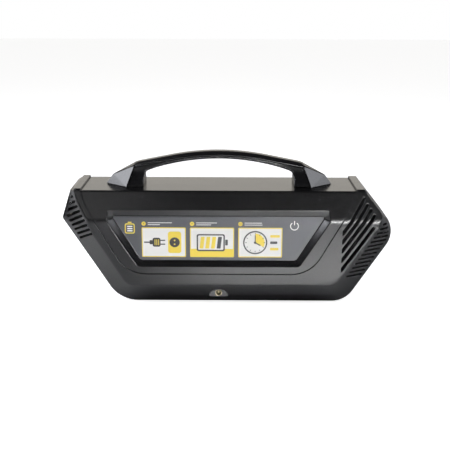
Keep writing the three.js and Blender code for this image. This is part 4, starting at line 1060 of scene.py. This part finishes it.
arch_foot = float(arch_height(ARCH_END)) - SIDE_FALL
wing_stations = [
    np.linspace(100.5, 105, 10),
    np.linspace(105.8, 109.4, 5),
    np.linspace(110, 113.4, 9),
    np.linspace(114.5, 127, 8),
    np.linspace(128, 132, 13),
    np.linspace(132.8, WING_TIP, 8),
]
half_stations = np.concatenate([np.arange(2, 100, 3.5), *wing_stations])
stations = np.concatenate([-half_stations[::-1], half_stations])
side_places = [ARCH_END, WING_FOOT, WING_TIP]
ridge_z = eased(
    lambda x: np.where(
        x < RIDGE_START,
        arch_height(x),
        np.interp(
            x, [RIDGE_START, SHOULDER_X, WING_TIP], [arch_height(RIDGE_START), SHOULDER_HEIGHT, HANDLE_BASE]
        ),
    ),
    stations,
    1.6,
)
knee_y = eased(lambda x: np.interp(x, [ARCH_END, SHOULDER_X], [GRIP_HALF_DEPTH, 0]), stations, 1.6)
knee_z = eased(
    lambda x: np.where(
        x < ARCH_END,
        arch_height(x) - CROWN_FALL,
        np.interp(x, [ARCH_END, SHOULDER_X, WING_TIP], [KNEE_HEIGHT, SHOULDER_HEIGHT, HANDLE_BASE]),
    ),
    stations,
    1.6,
)
foot_y = eased(lambda x: np.interp(x, side_places, [GRIP_HALF_DEPTH, WING_FOOT_DEPTH, 0]), stations, 0.5)
foot_z = eased(
    lambda x: np.where(
        x < ARCH_END,
        arch_height(x) - SIDE_FALL,
        np.interp(x, [ARCH_END, 103.46, WING_FOOT], [arch_foot, arch_foot, HANDLE_BASE]),
    ),
    stations,
    0.5,
)
away = np.abs(stations)
low_share = np.interp(away, [ARCH_END - 2, ARCH_END + 2, WING_FOOT], [0.92, 0.7, 0.9])
side_y = np.where(away < WING_FOOT, knee_y + low_share * (foot_y - knee_y), 0)
side_z = np.where(away < WING_FOOT, knee_z + low_share * (foot_z - knee_z), 0)
beyond = away >= WING_FOOT
side_y = np.where(beyond, np.interp(away, [WING_FOOT, SHOULDER_X], [WING_FOOT_DEPTH, 0]), side_y)
side_z = np.where(
    beyond,
    np.interp(away, [WING_FOOT, SHOULDER_X, WING_TIP], [HANDLE_BASE, SHOULDER_HEIGHT, HANDLE_BASE]),
    side_z,
)
crown_share = np.interp(away, [97, 106], [1, 0])
crown_z = (ridge_z + knee_z) / 2 + crown_share * CROWN_FALL / 2
side = np.stack([side_y, side_z], 1)
knee = np.stack([knee_y, knee_z], 1)
crown = np.stack([knee_y * 0.43, crown_z], 1)


def step_towards(start, goal, step):
    """Points that lie a step from start on the way to goal, at most six tenths of the way."""
    length = np.linalg.norm(goal - start, axis=1)
    return start + (goal - start) * (np.minimum(step, length * 0.6) / (length + 1e-9))[:, None]


shoulder_turn = np.interp(away, [96, 108], [1, 0])
half_section = [
    (np.stack([foot_y, foot_z], 1), np.interp(away, [ARCH_END, 104, 111, 112], [0.35, 1.3, 1.3, 0.35])),
    (side, np.interp(away, [ARCH_END, WING_FOOT, 114], [0.3, 0.3, 1.3])),
    (step_towards(knee, side, 0.9 + 1.0 * shoulder_turn), 1 + 0.5 * shoulder_turn),
    (step_towards(knee, crown, 0.9 + 2.3 * shoulder_turn), 1 + 8 * shoulder_turn),
    (crown, np.interp(away, [97, 106], [34, 0.2])),
]
half_section = np.stack([np.column_stack([place, radius]) for place, radius in half_section], 1)
ridge_row = np.stack([0 * away, ridge_z, np.interp(away, [97, 110], [0.1, 1.6])], 1)[:, None]
sections = np.concatenate([half_section, ridge_row, half_section[:, ::-1] * [-1, 1, 1]], 1)


def lofted(places, loops):
    """A closed shell through flat loops of y and z, one at each place along x."""
    count, size = loops.shape[:2]
    points = np.concatenate([np.broadcast_to(places[:, None, None], (count, size, 1)), loops], 2)
    index = np.arange(count * size).reshape(count, size)
    low, high = index[:-1], index[1:]
    quads = np.stack([low, high, np.roll(high, -1, 1), np.roll(low, -1, 1)], -1).reshape(-1, 4)
    return points.reshape(-1, 3), quads.tolist()


handle_black = plastic("handle_black", (0.005, 0.005, 0.006), (0.008, 0.008, 0.009), 0.25)
handle_top = moulding("handle_top_moulding", [lofted(stations, rounded(sections, 5))], handle_black)
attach(handle_top, "root")
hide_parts("handle_top_shell")

# ---------------------------------------------------------------- handle grip
# The lower moulding of the handle: the hand side of the grip and the two feet it runs into, which widen
# downwards. The same nylon, with generous roundings where the hand closes round it.
UNDER_CROWN, UNDER_RADIUS, UNDER_REACH = 175.9, 265.0, 86.0
GRIP_TOP_DROP = 5.1  # from the arch's ridge
FOOT_INNER, FOOT_CORNER_RADIUS = 91.0, 9.0
WING_SLANT = (ARCH_END - WING_FOOT) / (KNEE_HEIGHT - HANDLE_BASE)
WING_GAP = 0.4
# end view of a foot: height above the cover and half depth
FOOT_HEIGHTS, FOOT_DEPTHS = [0, 4, 16, 26], [21, 19.5, 13, 11]


def bow_corners(crown, radius, reach, count):
    """Corners of the tangents that touch an arc over the handle's middle at even angles; the end angle."""
    end = math.asin(reach / radius)
    angle = (2 * np.arange(count) + 1 - count) / count * end
    far = radius / math.cos(end / count)
    height = crown - radius + far * np.cos(angle)
    return np.column_stack([far * np.sin(angle), height, np.full(count, radius)]), end


def tangent_height(x, crown, radius, end):
    """Height at x of the tangent that touches an arc over the handle's middle at its end angle."""
    return crown - radius + (radius - x * math.sin(end)) / math.cos(end)


under_bow, under_end = bow_corners(UNDER_CROWN, UNDER_RADIUS, UNDER_REACH, 6)
top_bow, top_end = bow_corners(TOP_CROWN - GRIP_TOP_DROP, TOP_RADIUS, TOP_BEND_END, 4)
hand_corner = tangent_height(FOOT_INNER, UNDER_CROWN, UNDER_RADIUS, under_end)
slant_foot = WING_FOOT - WING_GAP
slant_top = slant_foot
for _ in range(12):
    slant_top_z = tangent_height(slant_top, TOP_CROWN - GRIP_TOP_DROP, TOP_RADIUS, top_end)
    slant_top = slant_foot + WING_SLANT * (slant_top_z - HANDLE_BASE)
GRIP_CORNERS = np.vstack(
    [
        [[-slant_foot, HANDLE_BASE, 0.4], [-FOOT_INNER, HANDLE_BASE, 0.8]],
        [[-FOOT_INNER, hand_corner, FOOT_CORNER_RADIUS]],
        under_bow,
        [[FOOT_INNER, hand_corner, FOOT_CORNER_RADIUS]],
        [[FOOT_INNER, HANDLE_BASE, 0.8], [slant_foot, HANDLE_BASE, 0.4]],
        [[slant_top, slant_top_z, 0.6]],
        top_bow[::-1],
        [[-slant_top, slant_top_z, 0.6]],
    ]
)
grip_sides = np.array([0.4, 2.0, *[2.7] * 7, 2.0, 0.4, 0.8, *[0.8] * 5, 0.8])


def grip_half_depth(z):
    """Half depth at a height: the end view's bent line, averaged over a short stretch to round its bends."""
    heights = z - HANDLE_BASE + np.linspace(-2.5, 2.5, 9)[:, None]
    return np.interp(heights, FOOT_HEIGHTS, FOOT_DEPTHS).mean(0)


def grip_surface(flat, below):
    """The grip's front skin over the front view; below it is towards the middle plane."""
    return np.column_stack([flat[:, 0], below - grip_half_depth(flat[:, 1]), flat[:, 1]])


grip_edge, grip_skin = edge_and_skin(GRIP_CORNERS, grip_sides, 2.4, 8)
grip_roll = rolled_edge(grip_skin, grip_edge, grip_surface, 4)
grip_rings = grip_roll + [ring * [1, -1, 1] for ring in reversed(grip_roll)]
grip_scatter = clear_ground(staggered([-113, 143], [113, 182], 2.2), [grip_skin], 0.8)
grip_shell = closed_shell(
    [(grip_skin, grip_rings)],
    grip_scatter,
    lambda flat: grip_surface(flat, 0),
    lambda flat: grip_surface(flat, 0) * [1, -1, 1],
)
grip = moulding("handle_grip_moulding", [grip_shell], handle_black)
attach(grip, "root")
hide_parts("handle_grip")

# ---------------------------------------------------------------- charging socket
# A half-round grey bezel set in the bottom bevel, with a round metal barrel in it whose centre pin
# stands in a black insulator. The parts are turned; a nut behind the bezel holds the barrel.
SOCKET_HEIGHT = 13.4
NICHE_BACK, NICHE_BACK_WALL = -33.7, 2.0
BARREL_RADIUS, BARREL_BORE = 4.2, 3.2
BARREL_FRONT, BARREL_BACK = -35.8, -20.0
INSULATOR_FRONT = -25.0
PIN_RADIUS, PIN_FRONT, PIN_BACK = 1.05, -33.6, -17.0


def turned(corners, solid=False, count=48):
    """A shell turned round the socket's axis from the corners of its half section: radius, y, rounding."""
    profile = rounded(np.asarray(corners, float), 4)
    angle = np.arange(count) * 2 * math.pi / count
    radius, y = profile[:, :1], profile[:, 1:]
    x, z = radius * np.cos(angle), SOCKET_HEIGHT + radius * np.sin(angle)
    points = np.stack([x, np.broadcast_to(y, x.shape), z], -1).reshape(-1, 3)
    index = np.arange(len(points)).reshape(x.shape)
    quads = np.stack(
        [index, np.roll(index, -1, 0), np.roll(np.roll(index, -1, 0), -1, 1), np.roll(index, -1, 1)], -1
    )
    return points, quads[: -1 if solid else None].reshape(-1, 4).tolist()


bezel_mouth, bezel_throat, bezel_brow, bezel_side = refined(
    [
        half_disc(NICHE_RADIUS + 0.25, NICHE_FOOT - 0.25, 0.9),
        half_disc(NICHE_RADIUS, NICHE_FOOT, 0.9),
        half_disc(NICHE_RADIUS + NICHE_WALL - 0.25, NICHE_FOOT - 0.65, 0.9),
        half_disc(NICHE_RADIUS + NICHE_WALL, NICHE_FOOT - 0.9, 0.9),
    ],
    1.2,
)
bezel_back = NICHE_BACK + NICHE_BACK_WALL
bezel_rings = [
    front_surface(bezel_throat, 0.3),
    front_surface(bezel_mouth, 0.05),
    front_surface(bezel_brow, 0.05),
    front_surface(bezel_side, 0.3),
    at_depth(bezel_side, bezel_back),
]
barrel_hole = circle([0, SOCKET_HEIGHT], BARREL_RADIUS + GAP, 40)
bezel_shell = closed_shell(
    [(bezel_throat, bezel_rings), (barrel_hole, [])],
    clear_ground(staggered([-11, 7], [11, 20], 1.5), [bezel_throat, barrel_hole], 0.5),
    lambda flat: at_depth(flat, NICHE_BACK),
    lambda flat: at_depth(flat, bezel_back),
)
bezel_grey = plastic("bezel_grey", (0.085, 0.085, 0.088), (0.11, 0.11, 0.11), 0.36)
bezel = moulding("socket_bezel_moulding", [bezel_shell], bezel_grey)
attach(bezel, "root")
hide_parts("socket_bezel")


METAL_SPREAD, METAL_GRAIN, METAL_GRAIN_HEIGHT = 0.18, 900, 4e-6


def metal(name, colour, worn, roughness):
    """The shared finish with full metallic reflection, for plated and bare metal."""
    made = plastic(name, colour, worn, roughness, METAL_SPREAD, METAL_GRAIN, METAL_GRAIN_HEIGHT)
    made.node_tree.nodes["Principled BSDF"].inputs["Metallic"].default_value = 1.0
    return made


socket_plating = metal("socket_plating", (0.62, 0.53, 0.36), (0.45, 0.37, 0.24), 0.28)
barrel_shell = turned(
    [
        [BARREL_BORE, BARREL_FRONT, 0.3],
        [BARREL_RADIUS, BARREL_FRONT, 0.3],
        [BARREL_RADIUS, BARREL_BACK, 0.2],
        [BARREL_BORE, BARREL_BACK, 0.2],
    ]
)
barrel = moulding("socket_barrel_turned", [barrel_shell], socket_plating)
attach(barrel, "root")
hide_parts("socket_barrel")
pin_corners = [
    [0, PIN_FRONT, 0.01],
    [PIN_RADIUS, PIN_FRONT, 0.7],
    [PIN_RADIUS, PIN_BACK, 0.2],
    [0, PIN_BACK, 0.01],
]
pin_shell = turned(pin_corners, True, 28)
pin = moulding("socket_pin_turned", [pin_shell], socket_plating)
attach(pin, "root")
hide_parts("socket_pin")
insulator_black = plastic("insulator_black", (0.012, 0.012, 0.013), (0.02, 0.02, 0.02), 0.5)
insulator_shell = turned(
    [
        [PIN_RADIUS + GAP, INSULATOR_FRONT, 0.2],
        [BARREL_BORE - GAP, INSULATOR_FRONT, 0.2],
        [BARREL_BORE - GAP, BARREL_BACK, 0.2],
        [PIN_RADIUS + GAP, BARREL_BACK, 0.2],
    ]
)
insulator = moulding("socket_insulator_turned", [insulator_shell], insulator_black)
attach(insulator, "root")
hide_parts("socket_insulator")

# ---------------------------------------------------------------- instruction plate
# A thin dark plate glued to the sunk panel's floor, printed with three framed pictures of plain motifs:
# a plug and its socket, a battery with bars, and a clock. The ink layers stand a hair above the plate.
PLATE_FACE, PLATE_THICKNESS = 43.0, 0.6
INK = 0.04
PLATE_GAP, PLATE_ROUND = 0.5, 0.15
plate_line, plate_skin = refined(
    [rounded(inset(both_sides(RECESS_FLOOR), gap), 8) for gap in (PLATE_GAP, PLATE_GAP + PLATE_ROUND)], 3.0
)


def plate_surface(flat, below):
    """The plate's flat face; below it is towards the back."""
    return at_depth(flat, below - PLATE_FACE)


plate_rings = rolled_edge(plate_skin, plate_line, plate_surface, 1)
plate_rings.append(plate_surface(plate_line, PLATE_THICKNESS))
plate_scatter = clear_ground(staggered([-127, 57], [127, 113], 6), [plate_skin], 2)
plate_shell = walled_shell([(plate_skin, plate_rings)], plate_scatter, plate_surface, PLATE_THICKNESS)
plate_grey = plastic("plate_grey", (0.06, 0.062, 0.07), (0.07, 0.072, 0.08), 0.33, 0.08, 1800, 0.000008)
plate = moulding("instruction_plate_sheet", [plate_shell], plate_grey)
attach(plate, "root")
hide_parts("instruction_plate")


def block(x0, z0, x1, z1, radius, lean=0.0):
    """Outline of an upright rectangle with rounded corners, whose top may be moved sideways by lean."""
    corners = [[x0, z0, radius], [x1, z0, radius], [x1 + lean, z1, radius], [x0 + lean, z1, radius]]
    return rounded(np.array(corners), 4)


def sector(centre, radius, start, end, inner=0.0, count=30):
    """Outline of a disc's sector between two angles in degrees, or of a band where inner isn't nought."""
    angle = np.radians(np.linspace(start, end, count))
    rim = np.column_stack([np.cos(angle), np.sin(angle)])
    core = rim[::-1] * inner if inner else np.zeros((1, 2))
    return np.asarray(centre) + np.vstack([rim * radius, core])


def turned_round(outline, centre, degrees):
    """An outline turned clockwise round a centre."""
    angle = math.radians(degrees)
    spin = np.array([[math.cos(angle), math.sin(angle)], [-math.sin(angle), math.cos(angle)]])
    return (outline - centre) @ spin + centre


def ink(level, outline, *holes):
    """A thin closed slab of ink on the plate; a higher level lies on the lower ones."""
    front = -PLATE_FACE - INK * level
    return closed_shell(
        [(outline, []), *((hole, []) for hole in holes)],
        np.zeros((0, 2)),
        lambda flat: at_depth(flat, front),
        lambda flat: at_depth(flat, front + INK * 0.9),
    )


PANEL_LEFT, PANEL_WIDTH, PANEL_STEP = -92.3, 53.0, 58.0
PANEL_FOOT, PANEL_TOP, PANEL_FRAME = 61.4, 98.4, 1.1
CAPTION_HEIGHT = 103.0
panel_lefts = PANEL_LEFT + PANEL_STEP * np.arange(3)
yellow, white, dark = [], [], []
for number, left in enumerate(panel_lefts):
    right = left + PANEL_WIDTH
    window = [left + PANEL_FRAME, PANEL_FOOT + PANEL_FRAME, right - PANEL_FRAME, PANEL_TOP - PANEL_FRAME]
    yellow.append(ink(1, block(left, PANEL_FOOT, right, PANEL_TOP, 1.2)))
    white.append(ink(2, block(*window, 0.6)))
    badge = [left + 2.6, CAPTION_HEIGHT]
    yellow.append(ink(1, circle(badge, 2.6, 32)))
    for dot in range(number + 1):
        dark.append(ink(2, circle([badge[0] + (dot - number / 2) * 1.35, CAPTION_HEIGHT], 0.5, 14)))
    for line_end, z in ((36.5 - number * 4.0, 104.2), (22.0 + number * 3.5, 101.8)):
        white.append(ink(1, block(left + 7.5, z - 0.4, left + line_end, z + 0.4, 0.3)))

# first picture: a plug on its cord in front of a wall socket
x0, middle_z = panel_lefts[0], (PANEL_FOOT + PANEL_TOP) / 2
yellow.append(ink(3, block(x0 + 31.5, PANEL_FOOT + 5, x0 + 47.5, PANEL_TOP - 5, 3)))
dark.append(ink(4, circle([x0 + 39.5, middle_z], 6.2, 40)))
yellow += [ink(5, circle([x0 + 39.5, middle_z + side * 2.4], 1.0, 18)) for side in (-1, 1)]
dark.append(ink(3, block(x0 + 13, middle_z - 5.6, x0 + 22.5, middle_z + 5.6, 2.2)))
for blade_z in (middle_z - 2.4, middle_z + 2.4):
    dark.append(ink(3, block(x0 + 22.3, blade_z - 0.7, x0 + 28.2, blade_z + 0.7, 0.5)))
dark.append(ink(3, block(x0 + 9.4, middle_z - 2.6, x0 + 13.2, middle_z + 2.6, 0.8)))
for start in x0 + 15.4 + 2.2 * np.arange(3):
    yellow.append(ink(4, block(start, middle_z - 3.6, start + 0.9, middle_z + 3.6, 0.3)))
dark.append(ink(3, block(x0 + 2.6, middle_z - 0.8, x0 + 9.6, middle_z + 0.8, 0.3)))
# second picture: a lying battery, filled by four leaning bars, over a yellow ground
x0 = panel_lefts[1]
yellow.append(ink(3, block(x0 + 1.1, PANEL_FOOT + 1.1, x0 + PANEL_WIDTH - 1.1, PANEL_FOOT + 10.5, 0.4)))
dark.append(ink(4, block(x0 + 8, PANEL_FOOT + 7.5, x0 + 42, PANEL_TOP - 8, 2.4)))
dark.append(ink(4, block(x0 + 42.4, middle_z - 3.6, x0 + 45.6, middle_z + 3.6, 0.8)))
white.append(ink(5, block(x0 + 9.8, PANEL_FOOT + 9.3, x0 + 40.2, PANEL_TOP - 9.8, 1.2)))
for bar in range(4):
    tint = yellow if bar < 3 else dark
    start = x0 + 11.4 + bar * 6.9
    tint.append(ink(6, block(start, PANEL_FOOT + 10.9, start + 4.6, PANEL_TOP - 11.4, 0.5, 1.8)))
# third picture: a clock with a filled sector, hands and twelve marks, beside three stacked strips
x0 = panel_lefts[2]
clock = np.array([x0 + 20.5, middle_z])
dark.append(ink(3, circle(clock, 14.6, 56)))
white.append(ink(4, circle(clock, 12.9, 56)))
yellow.append(ink(5, sector(clock, 11.4, -30, 90)))
for hour in range(12):
    mark = block(clock[0] - 0.35, clock[1] + 10.2, clock[0] + 0.35, clock[1] + 12.0, 0.15)
    dark.append(ink(6, turned_round(mark, clock, hour * 30)))
dark.append(ink(6, block(clock[0] - 0.6, clock[1] - 1.8, clock[0] + 0.6, clock[1] + 9.6, 0.3)))
short_hand = block(clock[0] - 0.7, clock[1] - 1.8, clock[0] + 0.7, clock[1] + 7.4, 0.3)
dark.append(ink(7, turned_round(short_hand, clock, -120)))
dark.append(ink(8, circle(clock, 1.4, 20)))
for tint, foot, length in ((yellow, 6.4, 11.5), (dark, -1.6, 8.6), (yellow, -9.6, 10.2)):
    strip = [x0 + 38.5, middle_z + foot, x0 + 38.5 + length, middle_z + foot + 3.2]
    tint.append(ink(3, block(*strip, 0.9)))
# bare outlines beside the pictures: an upright cell on the left, a switch ring on the right
cell_left, cell_right, cell_foot, cell_top = -112.4, -100.4, 90.6, 103.2
cell_hole = block(cell_left + 1.3, cell_foot + 1.3, cell_right - 1.3, cell_top - 1.3, 1.2)
yellow.append(ink(1, block(cell_left, cell_foot, cell_right, cell_top, 2.2), cell_hole))
yellow.append(ink(1, block(-108.6, cell_top + 0.6, -104.2, cell_top + 2.0, 0.4)))
for foot in cell_foot + 2.7 * np.arange(1, 4):
    white.append(ink(1, block(cell_left + 2.8, foot, cell_right - 2.8, foot + 1.5, 0.4)))
ring_centre = np.array([91.0, 100.6])
white.append(ink(1, sector(ring_centre, 5.2, -235, 55, 4.2, 60)))
ring_x, ring_z = ring_centre
white.append(ink(1, block(ring_x - 0.5, ring_z + 1.2, ring_x + 0.5, ring_z + 6.4, 0.4)))

for name, slabs, colour, worn in (
    ("print_yellow", yellow, (0.82, 0.63, 0.07), (0.76, 0.58, 0.08)),
    ("print_white", white, (0.82, 0.81, 0.78), (0.74, 0.73, 0.7)),
    ("print_dark", dark, (0.016, 0.016, 0.018), (0.03, 0.03, 0.03)),
):
    printed = moulding(name, slabs, plastic(name, colour, worn, 0.36, 0.1, 1800, 0.000006))
    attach(printed, "root")

# ---------------------------------------------------------------- painted shade behind the vents
# A black sheet lies behind the bevels' slots, front and rear, just inside the mouldings' wall. It is
# painted shade: it stands in for the shadow inside the vents and keeps them dark.
SHADE_SHEET_GAP, SHADE_SHEET_THICKNESS, SHADE_SHEET_MARGIN = 0.25, 0.5, 1.6
painted_shade_sheet_shells = []
for group in (right_slots, left_slots):
    inner_ends = np.array([slot[[0, 3], :2].mean(0) for slot in group])
    outer_ends = np.array([slot[[1, 2], :2].mean(0) for slot in group])
    sheet = np.vstack([inner_ends, outer_ends[::-1]])
    if group is left_slots:
        sheet = sheet[::-1]
    sheet = np.column_stack([sheet, np.full(len(sheet), 0.2)])
    sheet_line = refined([rounded(sheet[[0, len(group) - 1, len(group), -1]], 3)], 2.5)[0]
    middle = sheet_line.mean(0)
    outward = (sheet_line - middle) / np.linalg.norm(sheet_line - middle, axis=1, keepdims=True)
    sheet_line = sheet_line + outward * SHADE_SHEET_MARGIN
    for surface in (front_surface, rear_surface):
        painted_shade_sheet_shells.append(
            closed_shell(
                [(sheet_line, [])],
                clear_ground(staggered(sheet_line.min(0), sheet_line.max(0), 2.5), [sheet_line], 0.8),
                lambda flat: surface(flat, WALL + SHADE_SHEET_GAP),
                lambda flat: surface(flat, WALL + SHADE_SHEET_GAP + SHADE_SHEET_THICKNESS),
            )
        )
# painted shade: a near-black, matt sheet in place of the shadow inside the vents
painted_shade_sheet_black = plastic(
    "painted_shade_sheet_black", (0.003, 0.003, 0.003), (0.006, 0.006, 0.006), 0.8, 0.1, 1400, 0.0002, 0.1
)
painted_shade_sheet = moulding("vent_painted_shade_sheet", painted_shade_sheet_shells, painted_shade_sheet_black)
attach(painted_shade_sheet, "root")

# ---------------------------------------------------------------- inside of the pack
# What the case holds keeps its drawn shape: cells in their tray, nickel strips, foam pads, board,
# heat sink, fuse, leads and screws. Each gets the finish of its stuff.


def dress(finish, *names):
    """Gives one finish to CAD nodes that stay visible."""
    for name in names:
        for place in bpy.data.objects[name].material_slots:
            place.material = finish


def numbered(stem, count):
    """The names of a row of nodes, from 1 up to the count."""
    return [f"{stem}_{number}" for number in range(1, count + 1)]


inner_black = plastic("inner_black", (0.003, 0.003, 0.003), (0.006, 0.006, 0.006), 0.7, specular=0.15)
dress(inner_black, "vent_screen", "cell_keeper", "board_bracket")
dress(plastic("cell_sleeve", (0.045, 0.2, 0.18), (0.06, 0.25, 0.22), 0.35), "cell_tray")
strip_nickel = metal("strip_nickel", (0.6, 0.58, 0.53), (0.42, 0.41, 0.38), 0.3)
dress(strip_nickel, *numbered("busbar_front", 5), *numbered("busbar_rear", 6))
foam_grey = plastic("foam_grey", (0.07, 0.07, 0.075), (0.1, 0.1, 0.1), 0.95, 0.05, 700, 0.0004, 0.2)
dress(foam_grey, "front_pad", "floor_pad", "rear_pad")
dress(plastic("board_green", (0.012, 0.1, 0.035), (0.03, 0.16, 0.06), 0.35), "protection_board")
dress(metal("sink_aluminium", (0.6, 0.61, 0.62), (0.45, 0.46, 0.47), 0.4), "heat_sink")
dress(plastic("fuse_orange", (0.55, 0.15, 0.01), (0.6, 0.2, 0.03), 0.25), "fuse")
dress(plastic("lead_red", (0.4, 0.012, 0.01), (0.48, 0.03, 0.02), 0.42), "positive_lead")
dress(plastic("lead_black", (0.012, 0.012, 0.013), (0.03, 0.03, 0.03), 0.42), "negative_lead")
screw_steel = metal("screw_steel", (0.5, 0.5, 0.52), (0.3, 0.3, 0.31), 0.32)
dress(screw_steel, "socket_nut", *numbered("case_screw", 6))
for screws in ("board_screw", "cover_screw", "handle_screw"):
    dress(screw_steel, *numbered(screws, 4))
